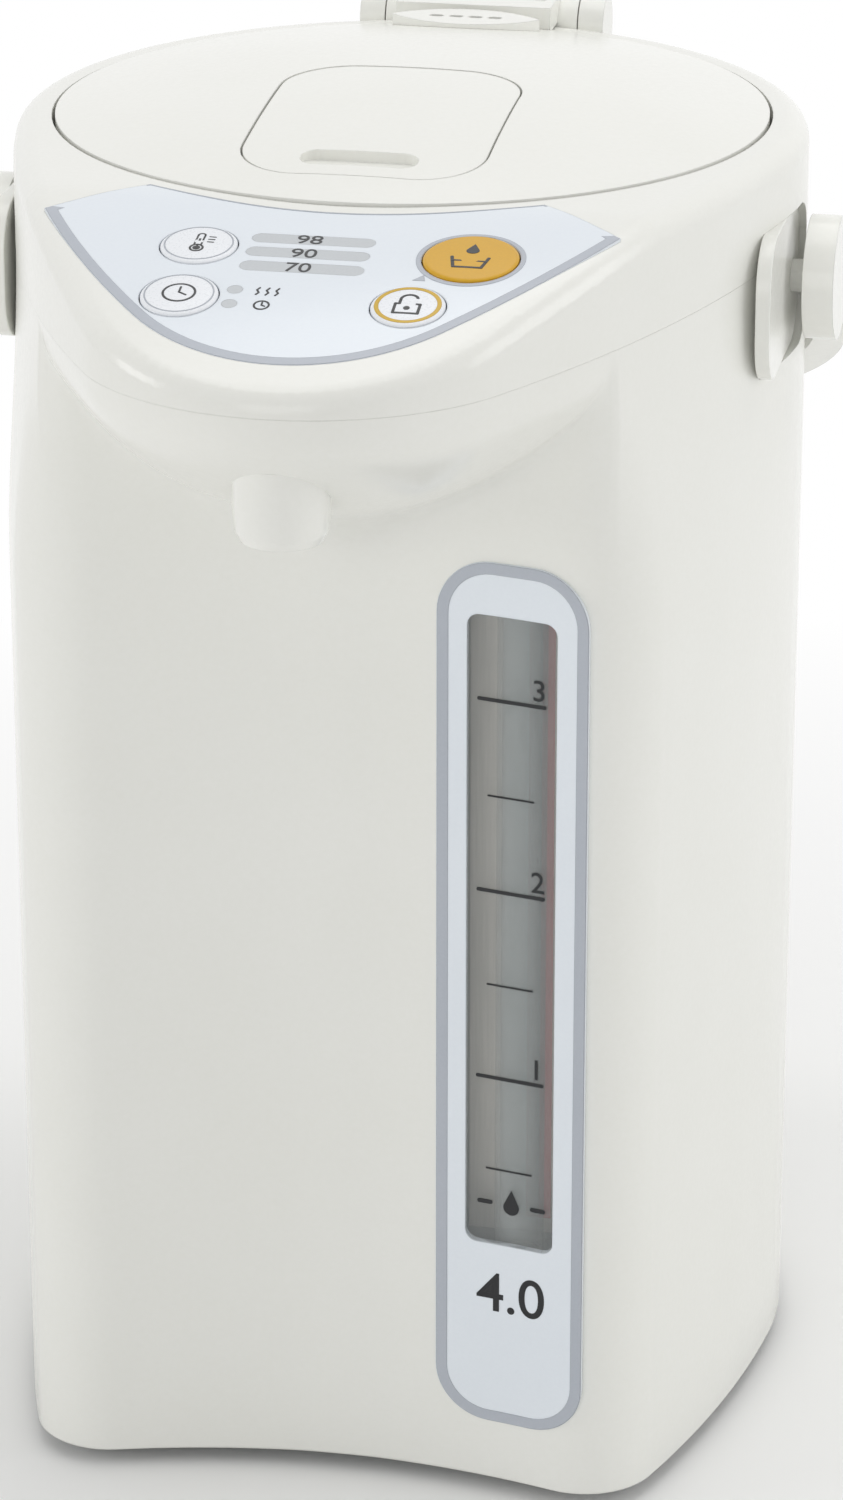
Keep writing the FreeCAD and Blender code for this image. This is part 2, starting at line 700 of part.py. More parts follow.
def make_power():
    low, high = D.inlet_z - D.inlet_high / 2, D.inlet_z + D.inlet_high / 2
    block = box("inlet_block", -D.inlet_half, D.inlet_half, 97 - D.inlet_deep, 97, low, high)
    flange = box("inlet_flange_block", -D.inlet_half - 3, D.inlet_half + 3, 90, 92.0,
                 low - 3, high + 3)
    mouth = box("inlet_mouth", 3 - D.inlet_half, D.inlet_half - 3, 97 - D.inlet_deep + 4, 99,
                low + 4, high - 4)
    inside = case_solid_cutter()
    seated = common("inlet_flange_seated", flange, inside)
    socket = cut("inlet_socket", fuse("inlet_body", block, seated), mouth)
    pins = []
    for side in (-1, 1):
        pins.append(rod(f"inlet_pin_{side + 1}", D.contact_radius, 8, D.pin_half_pitch * side,
                        97 - D.inlet_deep + 4, D.inlet_z, V(0, 1, 0)))
    board = box("power_board", D.power_board_x, D.power_board_x + D.power_board_wide,
                -D.power_board_long / 2, D.power_board_long / 2,
                D.power_board_z, D.power_board_z + D.power_board_thick)
    posts = []
    for x, y in ((6, 8), (36, 8), (6, 76), (36, 76)):
        posts.append(rod(f"board_post_{x}_{y}", 3.0, D.power_board_z - D.plate_z - D.plate_thick,
                         D.power_board_x + x, y - D.power_board_long / 2,
                         D.plate_z + D.plate_thick))
    return [socket, group("inlet_pins", *pins), board, group("board_posts", *posts)]


def case_solid_cutter():
    """The space inside the case wall, for pieces that lie against the wall."""
    body = add_body("case_room")
    sketch = add_sketch(body, "XY_Plane", D.plate_z)
    case_outline(sketch, D.wall)
    pad(body, sketch, 200.0, draft=D.case_draft)
    doc.recompute()
    return body


# Shoulder ring

def shoulder_solid(name, inset):
    """The filled form of the shoulder: a flat deck that slopes down along the beak."""
    body = add_body(name)
    sketch = add_sketch(body, "XY_Plane", D.seam_z)
    shoulder_outline(sketch, inset)
    pad(body, sketch, D.deck_z - D.seam_z + 20)
    above = add_sketch(body, "YZ_Plane")
    slope_profile(above, inset)
    pocket(body, above, 400.0, both=True)
    doc.recompute()
    filled = body.Tip
    round_over = body.newObject("PartDesign::Fillet", name + "_round")
    round_over.Base = (filled, top_edge_names(body.Shape, D.seam_z.value + 3))
    round_over.setExpression("Radius", (D.deck_round - inset).text)
    doc.recompute()
    return body


def slope_centres(deck):
    """Centre of the short arc at the crest, its lower end, and the long arc's centre."""
    angle = math.radians(D.slope_start_angle.value)
    ease, radius = D.slope_ease.value, D.slope_radius.value
    ease_centre = (-D.slope_start_y.value, deck - ease)
    crest = (ease_centre[0] - ease * math.sin(angle), ease_centre[1] + ease * math.cos(angle))
    centre = (crest[0] + radius * math.sin(angle), crest[1] - radius * math.cos(angle))
    return ease_centre, crest, centre


def slope_profile(sketch, lower):
    """Everything above the deck and above the long curve down to the tip of the beak."""
    deck = D.deck_z.value - lower.value
    start = (-D.slope_start_y.value, deck)
    ease_centre, crest, centre = slope_centres(deck)
    radius = D.slope_radius.value
    far_y = -200.0
    end = (far_y, centre[1] + math.sqrt(radius ** 2 - (far_y - centre[0]) ** 2))
    high = deck + 60
    loop = Loop(sketch)
    ease = loop.arc(ease_centre, start, crest)
    slope = loop.arc(centre, crest, end)
    loop.line(end, (far_y, high))
    loop.line((far_y, high), (150.0, high))
    loop.line((150.0, high), (150.0, deck))
    loop.line((150.0, deck), start)
    loop.close(sharp=(1, 2, 3, 4))
    fix_radius(sketch, ease, D.slope_ease)
    fix_radius(sketch, slope, D.slope_radius)
    fix_point(sketch, ease, 1, -D.slope_start_y, D.deck_z - lower)


def top_edge_names(shape, low):
    """The edges that the upright sides share with the top faces."""
    names = []
    for face in shape.Faces:
        if abs(face.normalAt(*face.Surface.parameter(face.CenterOfMass)).z) > 0.05:
            continue
        for edge in face.Edges:
            ends = [vertex.Point for vertex in edge.Vertexes]
            across = math.hypot(ends[0].x - ends[-1].x, ends[0].y - ends[-1].y)
            if min(point.z for point in ends) > low and across > 1:
                found = [n for n, other in enumerate(shape.Edges, 1) if other.isSame(edge)]
                names.append(f"Edge{found[0]}")
    return sorted(set(names))


def make_shoulder():
    outer = shoulder_solid("shoulder_outside", ZERO)
    inner = shoulder_solid("shoulder_inside", D.wall)
    shell = cut("shoulder_shell", outer, inner)
    well = turned("shoulder_well", [
        (D.mouth_radius, D.well_floor - D.well_floor_thick), (D.lip_inner, D.lip_bottom),
        (D.lip_outer, D.lip_bottom), (D.lip_outer, D.well_floor - D.well_floor_thick),
        (D.well_radius + D.well_wall, D.well_floor - D.well_floor_thick),
        (D.well_radius + D.well_wall, D.deck_z - 1), (D.well_radius, D.deck_z - 1),
        (D.well_radius, D.well_floor), (D.mouth_radius, D.well_floor)])
    bracket = hinge_bracket()
    ring_body = fuse("shoulder_joined", shell, well, bracket)
    openings = [
        rod("lid_well", D.well_radius, 40.0, ZERO, ZERO, D.well_floor),
        panel_seat("panel_seat", D.panel_thick),
        mount_outline("shoulder_mount_left", -1),
        mount_outline("shoulder_mount_right", 1),
        box("latch_slot", -D.latch_half - 1, D.latch_half + 1, -D.well_radius - 3,
            -D.well_radius + 3, D.latch_z - 1, D.latch_z + D.latch_thick + 1),
        barrel_room(),
    ]
    for name, (x, y), radius in KEYS:
        openings.append(slope_rod(name + "_well", x, y, radius + 1.2, 20.0, 6.0))
    return [cut("shoulder_ring", ring_body, fuse("shoulder_openings", *openings))]


def panel_seat(name, deep):
    """The panel outline between the sloping top and a parallel level below it."""
    block = add_body(name + "_block")
    sketch = add_sketch(block, "XY_Plane", D.seam_z)
    panel_outline(sketch)
    pad(block, sketch, 40.0)
    below = add_sketch(block, "YZ_Plane")
    slope_profile(below, ZERO)
    pocket(block, below, 400.0, both=True)
    core = add_body(name + "_core")
    sketch = add_sketch(core, "XY_Plane", D.seam_z - 1)
    panel_outline(sketch, as_size(-0.5))
    pad(core, sketch, 40.0)
    lower = add_sketch(core, "YZ_Plane")
    slope_profile(lower, deep)
    pocket(core, lower, 400.0, both=True)
    doc.recompute()
    return cut(name, block, core)


# Control panel and its keys. Each key: name, place in plan, radius.

KEYS = (
    ("dispense_key", (35.3, -111.2), 10.9),
    ("unlock_key", (25.3, -133.6), 8.4),
    ("keep_warm_key", (-27.2, -111.6), 8.8),
    ("timer_key", (-26.6, -133.9), 8.8),
)


def slope_at(y):
    """Height of the sloping top at y, and its tilt in radians."""
    centre = slope_centres(D.deck_z.value)[2]
    radius = D.slope_radius.value
    tilt = math.asin((centre[0] - y) / radius)
    return centre[1] + radius * math.cos(tilt), tilt


def on_slope(item, x, y, below=0.0):
    """Stands an upright item square on the sloping top at x, y."""
    z, tilt = slope_at(y)
    turn_about_x = FreeCAD.Rotation(V(1, 0, 0), math.degrees(tilt))
    normal = V(0, -math.sin(tilt), math.cos(tilt))
    item.Placement = FreeCAD.Placement(V(x, y, z) - normal * below, turn_about_x)
    return item


def slope_rod(name, x, y, radius, below, above):
    item = doc.addObject("Part::Cylinder", name)
    item.setExpression("Radius", as_size(radius).text)
    item.setExpression("Height", as_size(below + above).text)
    return on_slope(item, x, y, below)


def make_keys():
    keys = []
    for name, (x, y), radius in KEYS:
        key = turned(name, [
            (ZERO, as_size(-6.5)), (D.key_stem, as_size(-6.5)), (D.key_stem, as_size(-3.4)),
            (radius + 0.8, as_size(-3.4)), (radius + 0.8, as_size(-2.4)),
            (as_size(radius), as_size(-2.4)), (as_size(radius), as_size(0.1)),
            (as_size(radius - 0.8), as_size(0.6)), (ZERO, as_size(0.9))])
        on_slope(key, x, y)
        keys.append(key)
    return keys


def lens_blocks(prefix, below, above, room=0.0):
    """The three level bars and the two dots, as blocks square to the slope."""
    blocks = []
    for step in (-1, 0, 1):
        x = D.bar_x.value
        y = -D.bar_y.value + step * D.bar_pitch.value
        body = add_body(f"{prefix}_bar_{step + 1}")
        sketch = add_sketch(body, "XY_Plane")
        half, deep = D.bar_long / 2 + room, D.bar_deep / 2 + room
        add_rounded_box(sketch, -half, half, -deep, deep, deep - 0.05)
        pad(body, sketch, below + above)
        doc.recompute()
        blocks.append(on_slope(body, x, y, below))
    for step in (0, 1):
        y = -D.dot_y.value + (0.5 - step) * D.dot_pitch.value
        blocks.append(slope_rod(f"{prefix}_dot_{step}", D.dot_x.value, y,
                                D.dot_radius + room, below, above))
    return blocks


def make_panel():
    skin = panel_seat("panel_skin", D.panel_thick)
    holes = [slope_rod(name + "_hole", x, y, radius + D.key_gap, 6.0, 6.0)
             for name, (x, y), radius in KEYS]
    holes += lens_blocks("lens_hole", 6.0, 6.0)
    panel = cut("control_panel", skin, fuse("panel_holes", *holes))
    lenses = common("indicator_lenses", panel_seat("lens_skin", D.panel_thick),
                    fuse("lens_forms", *lens_blocks("lens", 6.0, 6.0)))
    return [panel, lenses]


def make_control_board():
    board = box("control_board", -D.board_half, D.board_half, -D.board_front, -D.board_back,
                D.board_z, D.board_z + D.board_thick)
    switches = []
    for name, (x, y), _ in KEYS:
        z, tilt = slope_at(y)
        stem_y = y + 6.5 * math.sin(tilt)
        half = D.switch_side / 2
        low = D.board_z + D.board_thick
        high = z - 6.5 - 1.6
        switches.append(box(name + "_switch", x - half.value, x + half.value,
                            stem_y - half.value, stem_y + half.value, low, high))
    return [board, group("key_switches", *switches)]


# Container and what is fixed to it

def make_container():
    inner, outer = D.bowl_radius, D.bowl_radius + D.bowl_wall
    floor, under = D.bowl_floor, D.bowl_floor - D.bowl_wall
    corner = D.bowl_corner
    body = turned("bowl_turned", [
        (ZERO, under), (outer - corner, under), (outer - corner * 0.29, under + corner * 0.29),
        (outer, under + corner), (outer, D.bowl_top - D.bowl_wall),
        (D.bowl_flange, D.bowl_top - D.bowl_wall), (D.bowl_flange, D.bowl_top),
        (inner, D.bowl_top), (inner, floor + corner),
        (inner - corner * 0.29, floor + corner * 0.29), (inner - corner, floor),
        (ZERO, floor)])
    outlet = rod("bowl_outlet", D.outlet_radius, 6.0, D.outlet_x, -D.outlet_y, under - 1)
    bowl = cut("inner_container", body, outlet)
    seal = ring("container_seal", D.seal_inner, D.lip_outer, D.bowl_top, D.seal_top)
    sleeve = ring("insulation_sleeve", D.sleeve_inner, D.sleeve_inner + D.sleeve_wall,
                  D.sleeve_bottom, D.sleeve_top)
    foot = ring("container_foot", outer - 16, outer - corner - 1, D.plate_z + D.plate_thick,
                under)
    tunnel = box("foot_opening", D.power_board_x - 1, 120, -100, 44,
                 D.plate_z + D.plate_thick - 1, under - 6)
    stand = cut("container_stand", foot, tunnel)
    band = ring("band_heater", outer, outer + D.band_thick, D.band_bottom, D.band_top)
    plate = ring("plate_heater", D.plate_heater_inner, D.plate_heater_outer,
                 under - D.plate_heater_thick, under)
    sensor = rod("thermistor", 6.0, 9.0, ZERO, ZERO, under - 9)
    return [bowl, seal, sleeve, stand, band, plate, sensor]


# Pump under the container

def make_pump():
    x, y = D.outlet_x, -D.outlet_y
    outer, inner = D.pump_radius, D.pump_radius - D.pump_wall
    low, deck, top = D.plate_z + D.plate_thick, D.pump_deck, D.pump_top
    under = D.bowl_floor - D.bowl_wall
    housing = turned("pump_turned", [
        (inner, low), (outer, low), (outer, top), (D.hose_radius, top),
        (D.hose_radius, under), (D.outlet_radius, under), (D.outlet_radius, top - D.pump_wall),
        (inner, top - D.pump_wall), (inner, deck), (D.shaft_radius + 3, deck),
        (D.shaft_radius + 3, deck - D.pump_wall), (inner, deck - D.pump_wall)])
    place(housing, x, y)
    port = rod("pump_port", D.hose_bore, 30.0, x, y, deck + 7, V(14, -45, 0))
    motor = turned("pump_motor", [
        (ZERO, low), (D.motor_radius, low), (D.motor_radius, D.motor_top - 4),
        (D.motor_radius - 3, D.motor_top - 2), (ZERO, D.motor_top - 2)])
    place(motor, x, y)
    magnet = turned("drive_magnet", [
        (ZERO, D.motor_top - 2), (D.shaft_radius, D.motor_top - 2),
        (D.shaft_radius, D.motor_top - 1), (D.magnet_radius, D.motor_top - 1),
        (D.magnet_radius, D.motor_top + 2.5), (ZERO, D.motor_top + 2.5)])
    place(magnet, x, y)
    return [cut("pump_housing", housing, port), motor, magnet, make_impeller(x, y)]


def make_impeller(x, y):
    """A magnet disc with six blades, turning on the bottom of the pump chamber."""
    base = D.pump_deck + 0.4
    body = add_body("impeller")
    sketch = add_sketch(body, "XY_Plane", base)
    add_circle(sketch, 0, 0, D.impeller_radius)
    pad(body, sketch, 3.0)
    blades = add_sketch(body, "XY_Plane", base + 3)
    add_polygon(blades, [(2.0, -0.7), (D.impeller_radius - 1, -0.7),
                         (D.impeller_radius - 1, 0.7), (2.0, 0.7)])
    blade = pad(body, blades, D.impeller_high - 4)
    doc.recompute()
    pattern = body.newObject("PartDesign::PolarPattern", "impeller_blades")
    pattern.Originals = [blade]
    pattern.Axis = (blades, ["N_Axis"])
    pattern.Angle = 360
    pattern.Occurrences = 6
    body.Tip = pattern
    hub = add_sketch(body, "XY_Plane", base + 3)
    add_circle(hub, 0, 0, 4.0)
    pad(body, hub, D.impeller_high - 4)
    doc.recompute()
    return place(body, x, y)


def pipe_along(name, points, radius, bore, bend):
    """A pipe of straight runs joined by round bends, in true places."""
    def path(points):
        edges = []
        last = points[0]
        for before, here, after in zip(points, points[1:], points[2:]):
            back, ahead = (before - here).normalize(), (after - here).normalize()
            half = back.getAngle(ahead) / 2
            reach = bend / math.tan(half)
            first, second = here + back * reach, here + ahead * reach
            middle = here + (back + ahead).normalize() * (bend / math.sin(half) - bend)
            edges.append(Part.LineSegment(last, first).toShape())
            edges.append(Part.Arc(first, middle, second).toShape())
            last = second
        edges.append(Part.LineSegment(last, points[-1]).toShape())
        return Part.Wire(edges)

    spine = path(points)
    heading = points[1] - points[0]
    def swept(size):
        circle = Part.Wire(Part.Circle(points[0], heading, size).toShape())
        return spine.makePipeShell([circle], True, False)

    item = doc.addObject("Part::Feature", name)
    item.Label = name
    item.Shape = swept(radius).cut(swept(bore)) if bore else swept(radius)
    return item


def make_hoses():
    x, y = D.outlet_x.value, -D.outlet_y.value
    tube = V(D.tube_x.value, -D.tube_y.value, 0)
    level = D.pump_deck.value + 7
    away = (V(tube.x, tube.y, 0) - V(x, y, 0)).normalize()
    start = V(x, y, level) + away * (D.pump_radius.value - 0.1)
    lower = pipe_along("delivery_hose_whole", [
        start, V(tube.x, tube.y, level), V(tube.x, tube.y, D.tube_bottom.value)],
        D.hose_radius.value - 0.5, D.hose_bore.value, 12.0)
    valve = V(0, -D.valve_y.value, 0)
    run = (valve - tube).normalize()
    high = D.elbow_z.value
    upper = pipe_along("outlet_elbow_whole", [
        V(tube.x, tube.y, D.tube_top.value), V(tube.x, tube.y, high),
        V(0, -D.valve_y.value, high) - run * D.valve_radius.value],
        D.hose_radius.value - 0.5, D.hose_bore.value, 12.0)
    spare = rod("hose_trim", D.pump_radius, 40.0, D.outlet_x, -D.outlet_y, D.plate_z)
    valve_trim = rod("elbow_trim", D.valve_radius, 60.0, ZERO, -D.valve_y, D.valve_bottom - 10)
    return [cut("delivery_hose", lower, spare), cut("outlet_elbow", upper, valve_trim)]


def make_spout():
    wall = D.valve_wall
    chamber = turned("tip_valve_turned", [
        (ZERO, D.valve_bottom), (D.valve_radius, D.valve_bottom),
        (D.valve_radius, D.valve_top), (ZERO, D.valve_top),
        (ZERO, D.valve_top - wall), (D.valve_radius - wall, D.valve_top - wall),
        (D.valve_radius - wall, D.valve_bottom + wall), (ZERO, D.valve_bottom + wall)])
    place(chamber, ZERO, -D.valve_y)
    run = V(D.tube_x.value, D.valve_y.value - D.tube_y.value, 0)
    inlet = rod("tip_valve_inlet", D.hose_bore, 20.0, ZERO, -D.valve_y, D.elbow_z, run)
    outlet = rod("tip_valve_outlet", D.pipe_bore, 20.0, ZERO, -D.valve_y, D.spout_z, V(0, -1, 0))
    valve = cut("tip_over_valve", chamber, fuse("tip_valve_ports", inlet, outlet))
    weight = turned("tip_valve_weight", [
        (ZERO, D.valve_bottom + wall + 0.3), (D.weight_radius - 2, D.valve_bottom + wall + 0.3),
        (D.weight_radius, D.valve_bottom + wall + 2.5),
        (D.weight_radius, D.valve_bottom + wall + D.weight_high),
        (ZERO, D.valve_bottom + wall + D.weight_high)])
    place(weight, ZERO, -D.valve_y)
    route = [V(0, -D.valve_y.value - 8, D.spout_z.value),
             V(0, -D.nozzle_y.value, D.spout_z.value),
             V(0, -D.nozzle_y.value, D.nozzle_bottom.value + 4)]
    radius, bend = D.pipe_radius.value, D.spout_bend.value
    pipe = pipe_along("spout_pipe_whole", route, radius, D.pipe_bore.value, bend)
    room = pipe_along("spout_pipe_room", route, radius, 0, bend)
    trim = rod("spout_pipe_trim", D.valve_radius, 60.0, ZERO, -D.valve_y, D.valve_bottom - 10)
    nozzle_form = turned("nozzle_turned", [
        (D.nozzle_bore, D.nozzle_bottom), (D.nozzle_rim, D.nozzle_bottom),
        (D.nozzle_radius - 0.4, D.nozzle_bottom + 2.5),
        (D.nozzle_radius, D.nozzle_bottom + 8), (D.nozzle_radius, D.nozzle_top),
        (D.pipe_radius, D.nozzle_top), (D.pipe_radius, D.nozzle_bottom + 4),
        (D.nozzle_bore, D.nozzle_bottom + 4)])
    place(nozzle_form, ZERO, -D.nozzle_y)
    return [valve, weight, cut("spout_pipe", pipe, trim),
            cut("spout_nozzle", nozzle_form, room)]


# Lid

def dome_radius():
    return (D.lid_radius * D.lid_radius + D.lid_crown * D.lid_crown) / (D.lid_crown * 2)


def dome_ball(name, lower, centre_x=0):
    """The ball whose cap is the top of the lid, or a level lower below it."""
    ball = doc.addObject("Part::Sphere", name)
    ball.setExpression("Radius", (dome_radius() - lower).text)
    return place(ball, ZERO, ZERO, D.lid_rim_z + D.lid_crown - dome_radius())


def dome_z(y):
    radius = dome_radius().value
    return D.lid_rim_z.value + D.lid_crown.value - radius + math.sqrt(radius ** 2 - y ** 2)


def lever_block(name, gap):
    body = add_body(name)
    sketch = add_sketch(body, "XY_Plane", D.lid_rim_z)
    add_rounded_box(sketch, -D.lever_half - gap, D.lever_half + gap, -D.lever_front - gap,
                    D.lever_rear + gap, D.lever_corner + gap)
    pad(body, sketch, 30.0)
    doc.recompute()
    return body


def make_lid_shell():
    outer_form = rod("lid_outer_form", D.lid_radius, 40.0, ZERO, ZERO, D.lid_skirt)
    inner_form = rod("lid_inner_form", D.lid_radius - D.lid_wall, 50.0, ZERO, ZERO,
                     D.lid_skirt - 5)
    outside = common("lid_outside", outer_form, dome_ball("lid_top_ball", ZERO))
    inside = common("lid_inside", inner_form, dome_ball("lid_under_ball", D.lid_wall))
    shell = cut("lid_form", outside, inside)
    floor_block = add_body("lever_tray_form")
    sketch = add_sketch(floor_block, "XY_Plane", D.lid_rim_z)
    gap = D.lever_gap + 2
    add_rounded_box(sketch, -D.lever_half - gap, D.lever_half + gap, -D.lever_front - gap,
                    D.lever_rear + gap, D.lever_corner + gap)
    pad(floor_block, sketch, 30.0)
    doc.recompute()
    tray = cut("lever_tray", common("lever_tray_block", floor_block,
                                    dome_ball("tray_ball", D.lid_wall - 0.5)),
               dome_ball("tray_under", D.lever_thick + 2.5))
    joined = fuse("lid_with_tray", shell, tray)
    hollow = cut("lever_pocket", lever_block("lever_pocket_form", D.lever_gap),
                 dome_ball("pocket_floor", D.lever_thick + 1.0))
    vent = box("vent_opening", -D.vent_half + 5, D.vent_half - 5, D.vent_y - 4, D.vent_y + 4,
               D.lid_skirt + 4, D.vent_top + 6)
    notch = box("latch_opening", -D.latch_half - 0.6, D.latch_half + 0.6,
                -D.lid_radius - 3, -D.lid_radius + 8, D.latch_z - 0.6,
                D.latch_z + D.latch_thick + 0.6)
    opening = fuse("lid_openings", hollow, vent, notch)
    return cut("lid_shell", joined, opening)


def make_lever():
    slab = cut("lever_slab", lever_block("lever_form", ZERO), dome_ball("lever_under", D.lever_thick))
    lever = common("lever_top", slab, dome_ball("lever_over", 0.1))
    scoop = add_body("lever_scoop")
    sketch = add_sketch(scoop, "XY_Plane", as_size(dome_z(-64.0)) - D.scoop_deep)
    add_rounded_box(sketch, -D.scoop_half, D.scoop_half, -D.scoop_front, -D.scoop_back, 3.9)
    pad(scoop, sketch, 12.0)
    doc.recompute()
    return cut("lid_lever", lever, scoop)


def make_latch():
    low = D.latch_z
    plate = box("latch_plate", -D.latch_half, D.latch_half, -D.latch_tip, -D.latch_back,
                low, low + D.latch_thick)
    window = box("latch_window", -D.latch_half + 5, D.latch_half - 5, -D.latch_back - 14,
                 -D.latch_back - 6, low - 1, low + D.latch_thick + 1)
    return cut("lid_latch", plate, window)


def make_lid_inside():
    low, rim = D.base_bottom, D.lid_skirt
    inner = D.lid_radius - D.lid_wall
    base = turned("lid_base", [
        (ZERO, D.plug_bottom + 8), (D.plug_radius - 10, D.plug_bottom + 8),
        (D.plug_radius - 6, D.plug_bottom), (D.plug_radius - 2, D.plug_bottom),
        (D.plug_radius - 2, D.gasket_top - 4), (D.plug_radius, D.gasket_top - 4),
        (D.plug_radius, low), (D.base_flange, low), (D.lid_radius - 0.4, rim - 0.8),
        (D.lid_radius - 0.4, rim), (inner, rim), (inner, rim + 2.6), (inner - 2, rim + 2.6),
        (inner - 2, rim + 0.5), (D.plug_radius - 3, rim + 0.5),
        (D.plug_radius - 3, D.plug_bottom + 11), (ZERO, D.plug_bottom + 11)])
    steam_pipe = ring("lid_steam_pipe", 4.0, 6.5, D.plug_bottom + 11, dome_z(58.0) - 6)
    place(steam_pipe, ZERO, 58.0)
    dish = turned("lid_inner_plate", [
        (ZERO, D.plug_bottom + 3), (D.dish_radius - 12, D.plug_bottom + 3),
        (D.dish_radius - 7, D.plug_bottom - D.dish_thick), (D.plug_radius - 2, D.plug_bottom - D.dish_thick),
        (D.plug_radius - 2, D.plug_bottom), (D.dish_radius - 6, D.plug_bottom),
        (D.dish_radius - 11, D.plug_bottom + 3 + D.dish_thick),
        (ZERO, D.plug_bottom + 3 + D.dish_thick)])
    gasket = turned("lid_gasket", [
        (D.plug_radius - 2, D.gasket_top - 8), (D.gasket_radius, D.gasket_top - 8),
        (D.gasket_radius - 0.6, D.gasket_top - 6.5), (D.plug_radius, D.gasket_top - 6),
        (D.plug_radius, D.gasket_top - 4), (D.plug_radius - 2, D.gasket_top - 4)])
    return [base, steam_pipe, dish, gasket]


def make_vent_cover():
    """A lens-shaped cover with a row of four short slots, on the back of the lid."""
    body = add_body("vent_cover_form")
    sketch = add_sketch(body, "XY_Plane", as_size(dome_z(D.vent_y.value) - 1.5))
    half, deep = D.vent_half.value, D.vent_deep.value
    reach = (half ** 2 + deep ** 2) / (2 * deep)
    y = D.vent_y.value
    loop = Loop(sketch)
    front = loop.arc((0.0, y - deep + reach), (-half, y), (half, y))
    loop.arc((0.0, y + deep - reach), (half, y), (-half, y))
    loop.close(sharp=(0, 1))
    fix_radius(sketch, front, (D.vent_half * D.vent_half + D.vent_deep * D.vent_deep)
               / (D.vent_deep * 2))
    pad(body, sketch, 4.0)
    slots = add_sketch(body, "XY_Plane", as_size(dome_z(y) - 3))
    add_rounded_box(slots, D.slot_pitch * -1.5 - D.slot_long / 2,
                    D.slot_pitch * -1.5 + D.slot_long / 2,
                    D.vent_y - D.slot_wide / 2, D.vent_y + D.slot_wide / 2, 0.9)
    slot = pocket(body, slots, 12.0, reverse=True)
    doc.recompute()
    row = body.newObject("PartDesign::LinearPattern", "vent_slots")
    row.Originals = [slot]
    row.Direction = (slots, ["H_Axis"])
    row.setExpression("Length", (D.slot_pitch * 3).text)
    row.Occurrences = 4
    body.Tip = row
    doc.recompute()
    return body


# Lid hinge at the back

def hinge_rod(name, radius, half, x=0):
    return rod(name, radius, as_size(half) * 2, as_size(x) - as_size(half), D.hinge_y,
               D.hinge_z, V(1, 0, 0))


def barrel_room():
    return hinge_rod("barrel_room", D.barrel_radius + 0.6, D.barrel_half + D.lug_gap)


def hinge_bracket():
    """Two lugs for the pin and the seat under the barrel, at the back of the shoulder."""
    outer = D.barrel_half + D.lug_gap + D.lug_thick
    seat = box("hinge_seat", -outer, outer, 86.0, D.hinge_y + 4, 300.0, D.hinge_z)
    lugs = hinge_rod("hinge_lugs", D.barrel_radius, outer)
    pin_hole = hinge_rod("hinge_pin_hole", D.pin_radius, outer - 2)
    return cut("hinge_bracket", fuse("hinge_bracket_form", seat, lugs), pin_hole)


def make_hinge():
    barrel = hinge_rod("hinge_barrel_form", D.barrel_radius, D.barrel_half)
    plate = box("hinge_plate", -D.arm_half, D.arm_half, D.arm_front, D.hinge_y + 2,
                D.deck_z + 0.6, D.arm_top)
    lid_room = rod("lid_room", D.lid_radius, 40.0, ZERO, ZERO, D.lid_skirt)
    under_dome = common("lid_space", lid_room, dome_ball("lid_space_ball", ZERO))
    bore = hinge_rod("hinge_barrel_bore", D.pin_radius + 0.05, D.barrel_half + 1)
    seat = box("release_seat", -D.release_half - 0.3, D.release_half + 0.3,
               D.release_front - 3.0, D.release_rear + 0.3,
               D.arm_top - D.release_thick, D.arm_top + 5)
    cover = make_vent_cover()
    holes = fuse("hinge_arm_cuts", under_dome, bore, seat)
    arm = cut("lid_hinge_arm", fuse("hinge_arm_form", barrel, plate), holes)
    release = box("lid_release_slide", -D.release_half, D.release_half, D.release_front,
                  D.release_rear, D.arm_top - D.release_thick, D.arm_top + 0.4)
    pin = hinge_rod("hinge_pin", D.pin_radius, D.barrel_half + D.lug_gap + D.lug_thick - 2)
    vent = cut("steam_vent_cover", cover, fuse("vent_cuts", dome_lower(), arm_space()))
    return [arm, release, pin, vent]


def dome_lower():
    room = rod("vent_room", D.lid_radius, 40.0, ZERO, ZERO, D.lid_skirt)
    return common("vent_space", room, dome_ball("vent_space_ball", ZERO))


def arm_space():
    return box("arm_space", -D.arm_half, D.arm_half, D.arm_front, D.hinge_y, D.deck_z,
               D.arm_top + 5)


# Bail handle, its pivot mounts and pins

def mount_outline(name, side, gap=0.0):
    """The recessed plate in the side of the body that carries a handle pivot."""
    body = add_body(name)
    sketch = add_sketch(body, "YZ_Plane", D.mount_back * side)
    add_rounded_box(sketch, D.mount_front_y, D.mount_rear_y, D.mount_bottom, D.mount_top,
                    D.mount_corner)
    pad(body, sketch, 12.0, reverse=side < 0)
    doc.recompute()
    return body


def make_mount(name, side):
    body = add_body(name)
    sketch = add_sketch(body, "YZ_Plane", D.mount_back * side)
    add_rounded_box(sketch, D.mount_front_y, D.mount_rear_y, D.mount_bottom, D.mount_top,
                    D.mount_corner)
    add_circle(sketch, D.pivot_y, D.pivot_z, D.pivot_pin + D.turn_gap)
    pad(body, sketch, 3.5, reverse=side < 0)
    doc.recompute()
    return body


def bail_curve(half, reach, bend):
    """Side arc and end arc that meet smoothly: centres, start and the point where they meet."""
    end_centre = (0.0, reach - bend)
    start_y = D.arm_start.value
    rise = end_centre[1] - start_y
    side_radius = (half ** 2 + rise ** 2 - bend ** 2) / (2 * (half - bend))
    side_centre = (half - side_radius, start_y)
    meet = toward(end_centre, side_centre, bend)
    return side_centre, end_centre, (half, start_y), meet


